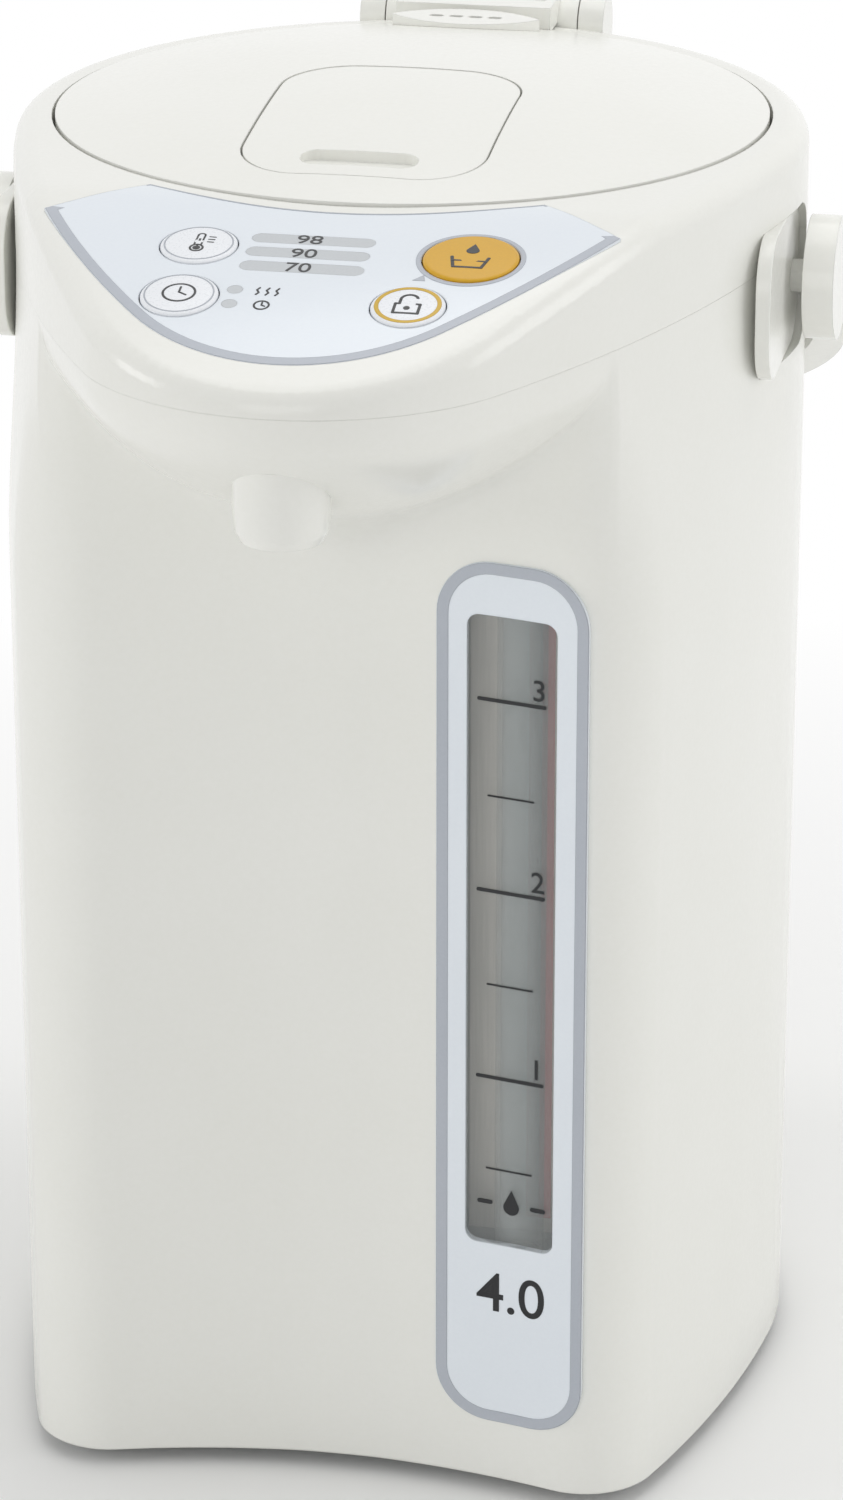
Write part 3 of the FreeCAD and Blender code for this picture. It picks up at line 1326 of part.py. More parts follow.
def make_handle():
    """Two flat arms with round pivot eyes that run into one curved grip behind the case."""
    reach, wide, thick = D.handle_reach, D.handle_wide, D.handle_thick
    body = add_body("bail_form")
    outer_x, inner_x = (D.handle_inner + thick).value, D.handle_inner.value
    bend = D.grip_bend.value
    side_out, end_out, start_out, meet_out = bail_curve(outer_x, (reach + wide / 2).value, bend)
    side_in, end_in, start_in, meet_in = bail_curve(
        inner_x, (reach - wide / 2).value, bend - thick.value * 1.5)
    sketch = add_sketch(body, "XY_Plane", -wide / 2)
    loop = Loop(sketch)
    loop.line((outer_x, 0.0), start_out)
    loop.arc(side_out, start_out, meet_out)
    loop.arc(end_out, meet_out, mirrored(meet_out))
    loop.arc(mirrored(side_out), mirrored(meet_out), mirrored(start_out))
    loop.line(mirrored(start_out), (-outer_x, 0.0))
    loop.line((-outer_x, 0.0), (-inner_x, 0.0))
    loop.line((-inner_x, 0.0), mirrored(start_in))
    loop.arc(mirrored(side_in), mirrored(start_in), mirrored(meet_in), hollow=True)
    loop.arc(end_in, mirrored(meet_in), meet_in, hollow=True)
    loop.arc(side_in, meet_in, start_in, hollow=True)
    loop.line(start_in, (inner_x, 0.0))
    loop.line((inner_x, 0.0), (outer_x, 0.0))
    loop.close(sharp=(4, 5, 6, 10, 11))
    pad(body, sketch, wide)
    doc.recompute()
    eyes = []
    for side in (-1, 1):
        start = D.handle_inner if side > 0 else -D.handle_inner - thick
        eyes.append(rod(f"handle_eye_{side + 1}", D.disc_radius, thick, start, ZERO, ZERO,
                        V(1, 0, 0)))
    pins = []
    for side in (-1, 1):
        start = D.mount_back if side > 0 else -D.handle_inner - 1
        pins.append(rod(f"handle_pin_{side + 1}", D.pivot_pin, D.handle_inner + 1 - D.mount_back,
                        start, ZERO, ZERO, V(1, 0, 0)))
    handle = fuse("bail_handle", body, *eyes, *pins)
    tilt = FreeCAD.Rotation(V(1, 0, 0), -D.handle_drop.value)
    handle.Placement = FreeCAD.Placement(V(0, 0, 0), tilt)
    return place(handle, ZERO, D.pivot_y, D.pivot_z)


def make_all():
    subparts = []
    subparts += make_swivel_base()
    subparts += make_bottom()
    subparts += make_case()
    subparts += make_gauge()
    subparts += make_power()
    subparts += make_shoulder()
    subparts += make_keys()
    subparts += make_panel()
    subparts += make_control_board()
    subparts += make_container()
    subparts += make_pump()
    subparts += make_hoses()
    subparts += make_spout()
    subparts += [make_lid_shell(), make_lever(), make_latch()]
    subparts += make_lid_inside()
    subparts += make_hinge()
    subparts += [make_mount("handle_mount_left", -1), make_mount("handle_mount_right", 1)]
    subparts.append(make_handle())
    return subparts


def check(subparts):
    for item in doc.Objects:
        if "Invalid" in item.State or "Error" in item.State:
            raise RuntimeError(f"{item.Label} failed: {item.State}")
    for item in subparts:
        if item.Shape.isNull() or not item.Shape.isValid():
            raise RuntimeError(f"{item.Label} has no valid shape")


def main():
    subparts = make_all()
    doc.recompute()
    check(subparts)
    os.makedirs("parts", exist_ok=True)
    for item in subparts:
        item.Shape.exportStep(f"parts/{item.Label}.step")
        print(f"{item.Label}: {len(item.Shape.Solids)} solid, {item.Shape.Volume / 1000:.2f} cm3")
    print(len(subparts), "sub-parts")


main()
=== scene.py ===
"""Looks of the electric thermo pot: shells, prints, finishes, studio and camera."""

import json
import logging
import math
from dataclasses import dataclass, field
from enum import Enum
from typing import Callable

import bmesh
import bpy
from mathutils import Matrix, Vector


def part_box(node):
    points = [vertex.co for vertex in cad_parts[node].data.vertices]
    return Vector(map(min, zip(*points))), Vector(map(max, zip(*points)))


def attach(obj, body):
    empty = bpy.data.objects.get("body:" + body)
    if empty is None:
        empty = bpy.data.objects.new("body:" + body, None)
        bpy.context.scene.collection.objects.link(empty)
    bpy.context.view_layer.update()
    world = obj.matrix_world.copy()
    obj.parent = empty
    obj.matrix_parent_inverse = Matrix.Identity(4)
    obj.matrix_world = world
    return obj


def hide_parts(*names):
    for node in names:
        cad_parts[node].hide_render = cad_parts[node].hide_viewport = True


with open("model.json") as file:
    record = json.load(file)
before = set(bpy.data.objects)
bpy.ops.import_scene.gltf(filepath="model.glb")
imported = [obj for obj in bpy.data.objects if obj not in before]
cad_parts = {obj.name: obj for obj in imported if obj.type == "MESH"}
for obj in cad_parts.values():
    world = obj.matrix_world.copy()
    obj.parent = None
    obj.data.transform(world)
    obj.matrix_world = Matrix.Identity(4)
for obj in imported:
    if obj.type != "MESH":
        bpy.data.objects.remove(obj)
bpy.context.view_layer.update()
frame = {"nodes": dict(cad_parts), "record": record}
LOG = logging.getLogger("thermo_pot")
MM = 0.001
Outline = list[tuple[float, float]]

# The sloping top in side view, in millimetres: one long arc, and a short one over the crest.
SLOPE_CENTRE_Y, SLOPE_CENTRE_Z, SLOPE_RADIUS = -37.160, -49.934, 375.0
EASE_Y, EASE_Z, EASE_RADIUS, CREST_Y = -81.0, 262.0, 60.0, -89.35
# The hollow front in plan: its axis, and the radius of the film that lines it.
FACE_CENTRE_Y, FACE_RADIUS = -286.82, 191.05
# How deep ink reaches into the surface, so that no print floats.
INK_ROOT = 0.1


def add_object(name: str, data: bpy.types.ID) -> bpy.types.Object:
    """Puts an object with that data into the scene."""
    thing = bpy.data.objects.new(name, data)
    bpy.context.scene.collection.objects.link(thing)
    return thing


def add_mesh(name: str, mesh: bmesh.types.BMesh) -> bpy.types.Object:
    """Turns a bmesh into an object of the scene and frees it."""
    data = bpy.data.meshes.new(name)
    mesh.to_mesh(data)
    mesh.free()
    return add_object(name, data)


def block_matrix(low: tuple[float, ...], high: tuple[float, ...]) -> Matrix:
    """Matrix that makes a unit cube reach from corner low to corner high, in metres."""
    middle = [(a + b) / 2 for a, b in zip(low, high)]
    size = [b - a for a, b in zip(low, high)]
    return Matrix.Translation(middle) @ Matrix.Diagonal((*size, 1))


def linear(hex_code: str) -> tuple[float, float, float, float]:
    """Turns an sRGB hex value into linear RGBA.

    Args:
        hex_code: six hex digits, such as "F0F0EA".

    Returns:
        Linear red, green, blue and an alpha of 1.
    """
    channels = []
    for start in (0, 2, 4):
        value = int(hex_code[start:start + 2], 16) / 255
        channels.append(value / 12.92 if value <= 0.04045 else ((value + 0.055) / 1.055) ** 2.4)
    return (*channels, 1.0)


def add_node(tree: bpy.types.NodeTree, kind: str, settings: dict | None = None,
             links: dict | None = None) -> bpy.types.Node:
    """Adds a shader node, sets it up and links its inputs.

    Args:
        tree: the node tree that takes the node.
        kind: the node's type without the ShaderNode prefix.
        settings: attributes by name, or input values where the key names an input.
        links: output sockets by the name or number of the input that each feeds.

    Returns:
        The new node.
    """
    node = tree.nodes.new("ShaderNode" + kind)
    for key, value in (settings or {}).items():
        if isinstance(key, int) or key in node.inputs:
            node.inputs[key].default_value = value
        else:
            setattr(node, key, value)
    for key, socket in (links or {}).items():
        tree.links.new(socket, node.inputs[key])
    return node


class Surface(Enum):
    """How the maker gave a surface its texture."""

    MOULDED = "moulded"
    SATIN = "satin"
    FILM = "printed film"
    RUBBER = "rubber"
    BRUSHED = "brushed along the height"
    ROLLED = "rolled sheet"
    LAMINATE = "glass fibre laminate"
    CLEAR = "clear"


@dataclass(frozen=True)
class Finish:
    """A real material and the way its surface was made."""

    name: str
    colour: str
    shade: str
    roughness: float
    surface: Surface = Surface.MOULDED
    grain_mm: float = 1.4
    relief: float = 0.04
    metallic: float = 0.0
    alpha: float = 1.0
    ior: float = 1.5
    edge_mm: float = 0.35

    def grain(self, tree: bpy.types.NodeTree) -> bpy.types.NodeSocket:
        """Builds the fine pattern of the surface.

        Args:
            tree: the material's node tree.

        Returns:
            The socket that gives the pattern as a number about one half.
        """
        place = add_node(tree, "TexCoord")
        stretch = (1.0, 1.0, 1.0)
        if self.surface is Surface.BRUSHED:
            stretch = (1.0, 1.0, 0.02)
        elif self.surface is Surface.ROLLED:
            stretch = (1.0, 0.15, 0.15)
        mapped = add_node(tree, "Mapping", {"Scale": stretch}, {"Vector": place.outputs["Object"]})
        if self.surface is Surface.LAMINATE:
            weave = add_node(tree, "TexChecker", {"Scale": 1.0 / (self.grain_mm * MM)},
                             {"Vector": mapped.outputs[0]})
            return weave.outputs["Fac"]
        noise = add_node(tree, "TexNoise", {"Scale": 1.0 / (self.grain_mm * MM), "Detail": 3.0,
                                            "Roughness": 0.55}, {"Vector": mapped.outputs[0]})
        return noise.outputs["Fac"]

    def material(self) -> bpy.types.Material:
        """Returns the material of this finish, made once."""
        found = bpy.data.materials.get(self.name)
        if found:
            return found
        made = bpy.data.materials.new(self.name)
        made.use_nodes = True
        tree = made.node_tree
        tree.nodes.clear()
        grain = self.grain(tree)
        place = add_node(tree, "TexCoord")
        # Slow drift of tone over some 40 mm, as thick and thin walls cool apart in the mould.
        drift = add_node(tree, "TexNoise", {"Scale": 25.0, "Detail": 1.0},
                         {"Vector": place.outputs["Object"]})
        both = add_node(tree, "Math", {"operation": "ADD"}, {0: grain, 1: drift.outputs["Fac"]})
        tone = add_node(tree, "MapRange", {"From Min": 0.55, "From Max": 1.45},
                        {"Value": both.outputs[0]})
        colour = add_node(tree, "Mix", {"data_type": "RGBA"}, {0: tone.outputs[0]})
        colour.inputs[6].default_value = linear(self.shade)
        colour.inputs[7].default_value = linear(self.colour)
        dull = add_node(tree, "MapRange", {"To Min": max(0.02, self.roughness - 0.04),
                                           "To Max": self.roughness + 0.04}, {"Value": grain})
        bump = add_node(tree, "Bump", {"Strength": self.relief, "Distance": 0.0002},
                        {"Height": grain})
        if self.edge_mm > 0 and self.surface in (Surface.MOULDED, Surface.SATIN, Surface.FILM):
            # Moulded edges are never sharp: the shading is rounded over a small radius.
            round_edge = add_node(tree, "Bevel", {"samples": 4, "Radius": self.edge_mm * MM})
            tree.links.new(round_edge.outputs[0], bump.inputs["Normal"])
        shader = add_node(tree, "BsdfPrincipled", {"Metallic": self.metallic,
                                                   "Alpha": self.alpha},
                          {"Base Color": colour.outputs[2], "Roughness": dull.outputs[0],
                           "Normal": bump.outputs[0]})
        if not self.metallic:
            shader.inputs["IOR"].default_value = self.ior
        add_node(tree, "OutputMaterial", {}, {"Surface": shader.outputs[0]})
        return made


# ABS moulded in a polished tool: glossy, slightly warm white, an even sheen with soft edges.
WHITE_ABS = Finish("gloss_abs_warm_white", "F1F1EC", "EEEEE8", 0.2)
WHITE_LID = Finish("gloss_abs_lid_white", "F3F3EE", "F0F0EA", 0.24)
# Polyester film printed from behind: cool white, very even, a thin clear gloss.
PANEL_FILM = Finish("printed_film_cool_white", "EAF0F6", "E6ECF3", 0.16, Surface.FILM, 0.8, 0.02,
                    edge_mm=0.5)
KEY_WHITE = Finish("moulded_key_white", "F2F4F7", "ECEFF4", 0.28, Surface.SATIN, 0.6, 0.05)
KEY_YELLOW = Finish("moulded_key_amber", "DDA900", "D29F00", 0.3, Surface.SATIN, 0.6, 0.05)
LENS_GREY = Finish("acrylic_lens_light_grey", "C9CDD0", "C2C6CA", 0.25, Surface.FILM, 0.6, 0.03)
BORDER_GREY = Finish("ink_cool_grey", "B9BEC7", "B2B8C1", 0.25, Surface.FILM, 0.7, 0.03)
INK_DARK = Finish("ink_near_black", "1D1F22", "17181B", 0.35, Surface.FILM, 0.5, 0.03)
INK_YELLOW = Finish("ink_amber", "D4AC10", "CAA20C", 0.3, Surface.FILM, 0.5, 0.03)
# Polycarbonate window: water clear, polished on both sides.
CLEAR_WINDOW = Finish("clear_polycarbonate", "E4E8E8", "DEE3E3", 0.06, Surface.CLEAR, 3.0, 0.01,
                      alpha=0.14, ior=1.58)
GLASS_TUBE = Finish("borosilicate_tube", "DDE5E4", "D3DCDB", 0.05, Surface.CLEAR, 4.0, 0.01,
                    alpha=0.22, ior=1.47)
# Stainless sheet, brushed along its height: fine upright streaks that spread the highlight.
STEEL = Finish("brushed_stainless", "B4B1AC", "A29F9A", 0.3, Surface.BRUSHED, 0.35, 0.12,
               metallic=1.0)
# Steel sheet behind the gauge, drawn as a light taupe and only a quarter metallic. This is painted
# light: a colour lighter than bare steel stands in for the reflections and the light in the shaded
# inside of the window. The noise streaks along the height are its brushing.
BACKING_PAINTED_LIGHT = Finish("gauge_backing_painted_light", "D9D3CA", "BDB7AE", 0.36, Surface.BRUSHED, 0.5, 0.1,
                 metallic=0.25)
RED_STRIP = Finish("red_level_strip", "C4605C", "B45450", 0.4, Surface.BRUSHED, 0.4, 0.06)
GREY_PP = Finish("moulded_pp_grey", "B4B6B6", "AAACAC", 0.45, Surface.SATIN, 0.9, 0.1)
BLACK_PP = Finish("moulded_pp_black", "24252A", "1C1D20", 0.42, Surface.SATIN, 0.9, 0.12)
SILICONE = Finish("silicone_rubber", "D2D1CC", "C7C6C1", 0.55, Surface.RUBBER, 0.8, 0.12)
RUBBER = Finish("anti_slip_rubber", "2B2B2C", "202021", 0.75, Surface.RUBBER, 0.5, 0.25)
BOARD = Finish("glass_epoxy_board", "2E5B3A", "26502F", 0.4, Surface.LAMINATE, 0.5, 0.08)
BRASS = Finish("drawn_brass", "D9B46A", "C9A55C", 0.28, Surface.BRUSHED, 0.3, 0.05, metallic=1.0)
CAST_ALUMINIUM = Finish("cast_aluminium", "B9BABB", "A7A8A9", 0.48, Surface.SATIN, 0.7, 0.2,
                        metallic=1.0)
ZINC = Finish("zinc_plated_steel", "BFC0C2", "AEB0B3", 0.3, Surface.ROLLED, 0.5, 0.06,
              metallic=1.0)
FELT = Finish("insulation_fibre", "CFCDC4", "BDBBB1", 0.9, Surface.RUBBER, 0.6, 0.5)

SLOT_FINISH = {
    "white_gloss": WHITE_ABS, "white_lid": WHITE_LID, "panel_white": PANEL_FILM,
    "key_white": KEY_WHITE, "key_yellow": KEY_YELLOW, "lens_grey": LENS_GREY,
    "clear": CLEAR_WINDOW, "glass_tube": GLASS_TUBE, "steel": STEEL, "backing_steel": BACKING_PAINTED_LIGHT,
    "red_strip": RED_STRIP, "grey_plastic": GREY_PP, "dark_plastic": BLACK_PP,
    "silicone": SILICONE, "dark_rubber": RUBBER, "board_green": BOARD, "copper_brass": BRASS,
    "heater_grey": CAST_ALUMINIUM, "zinc": ZINC, "insulation": FELT,
}


class Piece:
    """A bmesh that becomes an object riding on a CAD body."""

    def __init__(self, name: str) -> None:
        """Starts an empty piece of that name."""
        self.name = name
        self.mesh = bmesh.new()

    def place(self, body: str, finish: Finish, slot: str, replaces: tuple[str, ...] = (),
              smooth_below: float | None = 35.0) -> bpy.types.Object:
        """Writes the mesh to an object and rides it on the body.

        Args:
            body: the CAD body that the piece moves with.
            finish: what the piece is made of.
            slot: the record's material slot; not used.
            replaces: CAD nodes that the piece stands for.
            smooth_below: edges that turn less than this many degrees are shaded smooth.

        Returns:
            The new object.
        """
        if smooth_below is not None:
            limit = math.radians(smooth_below)
            for face in self.mesh.faces:
                face.smooth = True
            for edge in self.mesh.edges:
                edge.smooth = not (len(edge.link_faces) == 2
                                   and edge.calc_face_angle(0.0) > limit)
        thing = add_mesh(self.name, self.mesh)
        thing.data.materials.append(finish.material())
        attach(thing, body)
        if replaces:
            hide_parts(*replaces)
        LOG.info("%s on %s, %d faces", self.name, body, len(thing.data.polygons))
        return thing


@dataclass
class Shell:
    """A moulded piece: the CAD form, welded, with rounded edges and an even sheen."""

    node: str
    body: str
    slot: str
    round_mm: float = 0.0
    sharp_from: float = 40.0
    weld: float = 2e-6

    def build(self) -> bpy.types.Object:
        """Welds a copy of the CAD form, rounds its edges and dresses it.

        Returns:
            The object that stands for the node.
        """
        piece = Piece(self.node + "_shell")
        mesh = piece.mesh
        mesh.from_mesh(frame["nodes"][self.node].data)
        bmesh.ops.remove_doubles(mesh, verts=mesh.verts, dist=self.weld)
        bmesh.ops.dissolve_degenerate(mesh, edges=mesh.edges, dist=self.weld)
        if self.round_mm > 0:
            bmesh.ops.dissolve_limit(mesh, angle_limit=math.radians(0.4), verts=mesh.verts,
                                     edges=mesh.edges)
        thing = piece.place(self.body, SLOT_FINISH[self.slot], self.slot, (self.node,))
        if self.round_mm > 0:
            soft = thing.modifiers.new("edges", "BEVEL")
            soft.width = self.round_mm * MM
            soft.segments = 3
            soft.limit_method = "ANGLE"
            soft.angle_limit = math.radians(self.sharp_from)
        even = thing.modifiers.new("sheen", "WEIGHTED_NORMAL")
        even.keep_sharp = self.round_mm <= 0
        even.weight = 50
        return thing


class Print:
    """Flat ink shapes drawn in a plane in millimetres and then laid on a surface."""

    def __init__(self, name: str) -> None:
        """Starts an empty print of that name."""
        self.piece = Piece(name)
        self.mesh = self.piece.mesh

    def disc(self, u: float, v: float, radius: float, sides: int = 48) -> None:
        """Adds a filled disc of that radius about u, v."""
        bmesh.ops.create_circle(self.mesh, cap_ends=True, segments=sides, radius=radius,
                                matrix=Matrix.Translation((u, v, 0)))

    def ring(self, u: float, v: float, outer: float, inner: float, sides: int = 72) -> None:
        """Adds a ring between two radii about u, v."""
        edges = []
        for radius in (outer, inner):
            made = bmesh.ops.create_circle(self.mesh, cap_ends=False, segments=sides,
                                           radius=radius, matrix=Matrix.Translation((u, v, 0)))
            edges += list({edge for vert in made["verts"] for edge in vert.link_edges})
        bmesh.ops.bridge_loops(self.mesh, edges=edges)

    def stroke(self, start: tuple[float, float], end: tuple[float, float], width: float) -> None:
        """Adds a line with round ends.

        Args:
            start: one end, in the plane.
            end: the other end.
            width: the line's width.
        """
        run = Vector((end[0] - start[0], end[1] - start[1], 0))
        made = bmesh.ops.create_circle(self.mesh, cap_ends=True, segments=24, radius=width / 2)
        for vert in made["verts"]:
            if vert.co.x > 0:
                vert.co.x += run.length
        turn = Matrix.Rotation(math.atan2(run.y, run.x), 4, "Z")
        bmesh.ops.transform(self.mesh, matrix=Matrix.Translation((*start, 0)) @ turn,
                            verts=made["verts"])

    def path(self, points: Outline, width: float) -> None:
        """Adds strokes from point to point."""
        for start, end in zip(points, points[1:]):
            self.stroke(start, end, width)

    def polygon(self, points: Outline) -> None:
        """Adds a filled outline through the points."""
        self.mesh.faces.new([self.mesh.verts.new((x, y, 0)) for x, y in points])

    def frame_between(self, outer: Outline, inner: Outline) -> None:
        """Adds the band between two closed outlines.

        Args:
            outer: the outer outline.
            inner: the inner outline, with as many points.
        """
        edges = []
        for outline in (outer, inner):
            verts = [self.mesh.verts.new((x, y, 0)) for x, y in outline]
            edges += [self.mesh.edges.new((a, b)) for a, b in zip(verts, verts[1:] + verts[:1])]
        bmesh.ops.bridge_loops(self.mesh, edges=edges)

    def text(self, words: str, size: float, u: float, v: float, wide: float = 1.0) -> None:
        """Adds a number.

        Args:
            words: the digits.
            size: height of the type, where a digit takes seven tenths of it.
            u: middle of the number across.
            v: middle of the number upwards.
            wide: how much wider than usual the digits are.
        """
        curve = bpy.data.curves.new("digits", "FONT")
        curve.body = words
        curve.size = size
        curve.align_x = "CENTER"
        curve.align_y = "CENTER"
        curve.offset = size * 0.004
        holder = add_object("digits", curve)
        bpy.context.view_layer.update()
        flat = bpy.data.meshes.new_from_object(holder)
        flat.transform(Matrix.Translation((u, v, 0)) @ Matrix.Diagonal((wide, 1, 1, 1)))
        bpy.data.objects.remove(holder)
        bpy.data.curves.remove(curve)
        self.mesh.from_mesh(flat)
        bpy.data.meshes.remove(flat)

    def lay(self, onto: Callable[[Vector], Vector], body: str, finish: Finish, slot: str,
            thick: float = 0.12) -> bpy.types.Object:
        """Gives the shapes the thickness of ink and lays them on a surface.

        Args:
            onto: turns a place in the plane and a height into a place on the object, in mm.
            body: the body that carries the print.
            finish: the ink.
            slot: the record's material slot.
            thick: the height over the surface.

        Returns:
            The new object.
        """
        raised = bmesh.ops.extrude_face_region(self.mesh, geom=self.mesh.faces[:])
        tops = [part for part in raised["geom"] if isinstance(part, bmesh.types.BMVert)]
        bmesh.ops.translate(self.mesh, vec=(0, 0, thick + INK_ROOT), verts=tops)
        bmesh.ops.translate(self.mesh, vec=(0, 0, -INK_ROOT), verts=self.mesh.verts)
        for vert in self.mesh.verts:
            vert.co = onto(vert.co) * MM
        bmesh.ops.recalc_face_normals(self.mesh, faces=self.mesh.faces)
        return self.piece.place(body, finish, slot)


def on_slope(point: Vector) -> Vector:
    """Lays a point of the plan, with its height, on the sloping top."""
    centre_y, centre_z, radius = SLOPE_CENTRE_Y, SLOPE_CENTRE_Z, SLOPE_RADIUS
    if point.y > CREST_Y:
        centre_y, centre_z, radius = EASE_Y, EASE_Z, EASE_RADIUS
    tilt = math.asin(max(0.0, centre_y - point.y) / radius)
    height = centre_z + radius * math.cos(tilt)
    return Vector((point.x, point.y - point.z * math.sin(tilt),
                   height + point.z * math.cos(tilt)))


def on_face(point: Vector) -> Vector:
    """Lays a point of the front view, with its height, on the hollow face of the gauge."""
    radius = FACE_RADIUS - point.z
    return Vector((point.x, FACE_CENTRE_Y + math.sqrt(radius ** 2 - point.x ** 2), point.y))


def arc_points(centre: tuple[float, float], radius: float, start: float, end: float,
               steps: int) -> Outline:
    """Points on an arc, both ends included.

    Args:
        centre: the arc's centre.
        radius: its radius.
        start: first angle, in degrees.
        end: last angle, in degrees.
        steps: how many pieces the arc is cut into.

    Returns:
        The points in order.
    """
    points = []
    for step in range(steps + 1):
        angle = math.radians(start + (end - start) * step / steps)
        points.append((centre[0] + radius * math.cos(angle), centre[1] + radius * math.sin(angle)))
    return points


@dataclass
class Key:
    """A round key in the sloping panel, with its ring and its pictogram."""

    name: str
    x: float
    y: float
    radius: float
    middle_rise: float = 0.9
    edge_drop: float = 0.3
    top_inset: float = 0.8

    def onto(self, point: Vector) -> Vector:
        """Lays a point of the key's own plane on its slightly domed top."""
        away = math.hypot(point.x, point.y)
        share = min(1.0, away / (self.radius - self.top_inset))
        dome = self.middle_rise - self.edge_drop * share
        base = on_slope(Vector((self.x, self.y, 0)))
        tilt = math.asin((SLOPE_CENTRE_Y - self.y) / SLOPE_RADIUS)
        up = Vector((0, -math.sin(tilt), math.cos(tilt)))
        back = Vector((0, math.cos(tilt), math.sin(tilt)))
        return base + Vector((1, 0, 0)) * point.x + back * point.y + up * (point.z + dome)

    def outline(self, finish: Finish, width: float) -> None:
        """Prints the ring round the edge of the key's top."""
        ink = Print(self.name + "_outline")
        ink.ring(0, 0, self.radius - 0.85, self.radius - 0.85 - width)
        ink.lay(self.onto, self.name, finish, "lens_grey", 0.05)

    def mark(self) -> None:
        """Prints the pictogram that says what the key does."""
        ink = Print(self.name + "_mark")
        draw = {"dispense_key": self.cup, "unlock_key": self.padlock,
                "keep_warm_key": self.thermometer, "timer_key": self.clock}
        draw[self.name](ink)
        ink.lay(self.onto, self.name, INK_DARK, "dark_plastic", 0.05)

    def cup(self, ink: Print) -> None:
        """A drop over a cup."""
        drop = [(0.0, 6.0)] + arc_points((0, 2.6), 1.5, 25, -205, 20)
        ink.polygon(drop)
        ink.path([(-4.2, -0.6), (-3.2, -5.2), (3.2, -5.2), (4.2, -0.6)], 0.8)
        ink.stroke((-3.8, -2.2), (3.8, -2.2), 0.6)

    def padlock(self, ink: Print) -> None:
        """An open padlock."""
        ink.path([(-2.8, -3.6), (2.8, -3.6), (2.8, 0.2), (-2.8, 0.2), (-2.8, -3.6)], 0.7)
        ink.path([(-1.9, 0.2), (-1.9, 2.0)] + arc_points((0, 2.2), 1.9, 180, 20, 10), 0.7)
        ink.disc(0, -1.6, 0.75, 20)

    def thermometer(self, ink: Print) -> None:
        """A thermometer with its column."""
        ink.ring(0, -2.6, 1.7, 1.2, 32)
        ink.disc(0, -2.6, 0.9, 24)
        ink.path([(-0.8, -1.2), (-0.8, 3.6)] + arc_points((0, 3.6), 0.8, 180, 0, 8)
                 + [(0.8, -1.2)], 0.45)
        ink.stroke((0, -2.6), (0, 1.6), 0.5)
        for step in range(3):
            ink.stroke((2.0, 0.4 + step * 1.3), (3.3, 0.4 + step * 1.3), 0.4)

    def clock(self, ink: Print) -> None:
        """A clock face with two hands."""
        ink.ring(0, 0, 3.9, 3.35, 48)
        ink.path([(0, 2.3), (0, 0), (1.7, -0.9)], 0.5)


@dataclass
class ControlPanel:
    """The printed film on the sloping top."""

    tip_radius: float = 48.0
    tip_y: float = -110.0
    flank_radius: float = 197.0
    heading: float = 47.0
    corner_y: float = -97.0
    rear_radius: float = 91.3
    rear_x: float = 46.4
    bar_x: float = -1.8
    bar_y: float = -112.8
    bar_pitch: float = 6.6
    labels: tuple[str, ...] = ("98", "90", "70")
    keys: tuple[Key, ...] = field(default_factory=lambda: (
        Key("dispense_key", 35.3, -111.2, 10.9), Key("unlock_key", 25.3, -133.6, 8.4),
        Key("keep_warm_key", -27.2, -111.6, 8.8), Key("timer_key", -26.6, -133.9, 8.8)))

    def outline(self, inset: float, rear_inset: float) -> Outline:
        """The film's outline, drawn in by a margin.

        Args:
            inset: margin along the front.
            rear_inset: margin along the rear.

        Returns:
            A closed run of points, anticlockwise from the middle of the front.
        """
        turn = math.radians(self.heading)
        tip = self.tip_radius - inset
        flank = self.flank_radius - inset
        touch = (tip * math.sin(turn), self.tip_y - tip * math.cos(turn))
        centre = (touch[0] - flank * math.sin(turn), touch[1] + flank * math.cos(turn))
        rise = self.corner_y - rear_inset - centre[1]
        end = math.degrees(math.asin(rise / flank))
        right = arc_points((0, self.tip_y), tip, -90, self.heading - 90, 14)
        right += arc_points(centre, flank, self.heading - 90, end, 14)[1:]
        rear = self.rear_radius + rear_inset
        half = self.rear_x - rear_inset / 2
        first = math.degrees(math.asin(half / rear))
        right += arc_points((0, 0), rear, first - 90, -90, 16)
        left = [(-x, y) for x, y in reversed(right[1:-1])]
        return right + left

    def border(self) -> None:
        """Prints the grey edge, broad at the front and a fine line at the rear."""
        ink = Print("panel_border")
        ink.frame_between(self.outline(0.15, 0.1), self.outline(2.7, 0.6))
        ink.lay(on_slope, "pot", BORDER_GREY, "lens_grey", 0.08)

    def marks(self) -> None:
        """Prints the temperatures, the small signs by the lamps and the key signs."""
        ink = Print("panel_numbers")
        for row, label in enumerate(self.labels):
            y = self.bar_y + (1 - row) * self.bar_pitch
            ink.text(label, 5.6, self.bar_x - 0.9, y, 1.12)
        for x in (-9.6, -7.4, -5.2):
            ink.path([(x, -131.8), (x + 0.5, -130.9), (x - 0.1, -129.9), (x + 0.4, -128.9)], 0.45)
        ink.ring(-7.4, -136.0, 1.9, 1.45, 32)
        ink.path([(-7.4, -134.9), (-7.4, -136.0), (-6.6, -136.4)], 0.4)
        ink.lay(on_slope, "pot", INK_DARK, "dark_plastic", 0.07)

    def soft_marks(self) -> None:
        """Prints the ring round the dispensing key and the pointer to it."""
        ink = Print("panel_key_ring")
        big = self.keys[0]
        ink.ring(big.x, big.y, big.radius + 1.5, big.radius + 0.35, 96)
        ink.polygon([(24.0, -122.2), (26.9, -122.2), (26.2, -119.6)])
        ink.lay(on_slope, "pot", BORDER_GREY, "lens_grey", 0.07)

    def build(self) -> None:
        """Builds the prints of the panel and its keys."""
        self.border()
        self.marks()
        self.soft_marks()
        for key in self.keys:
            key.mark()
        self.keys[1].outline(INK_YELLOW, 1.0)
        self.keys[2].outline(BORDER_GREY, 0.35)
        self.keys[3].outline(BORDER_GREY, 0.35)


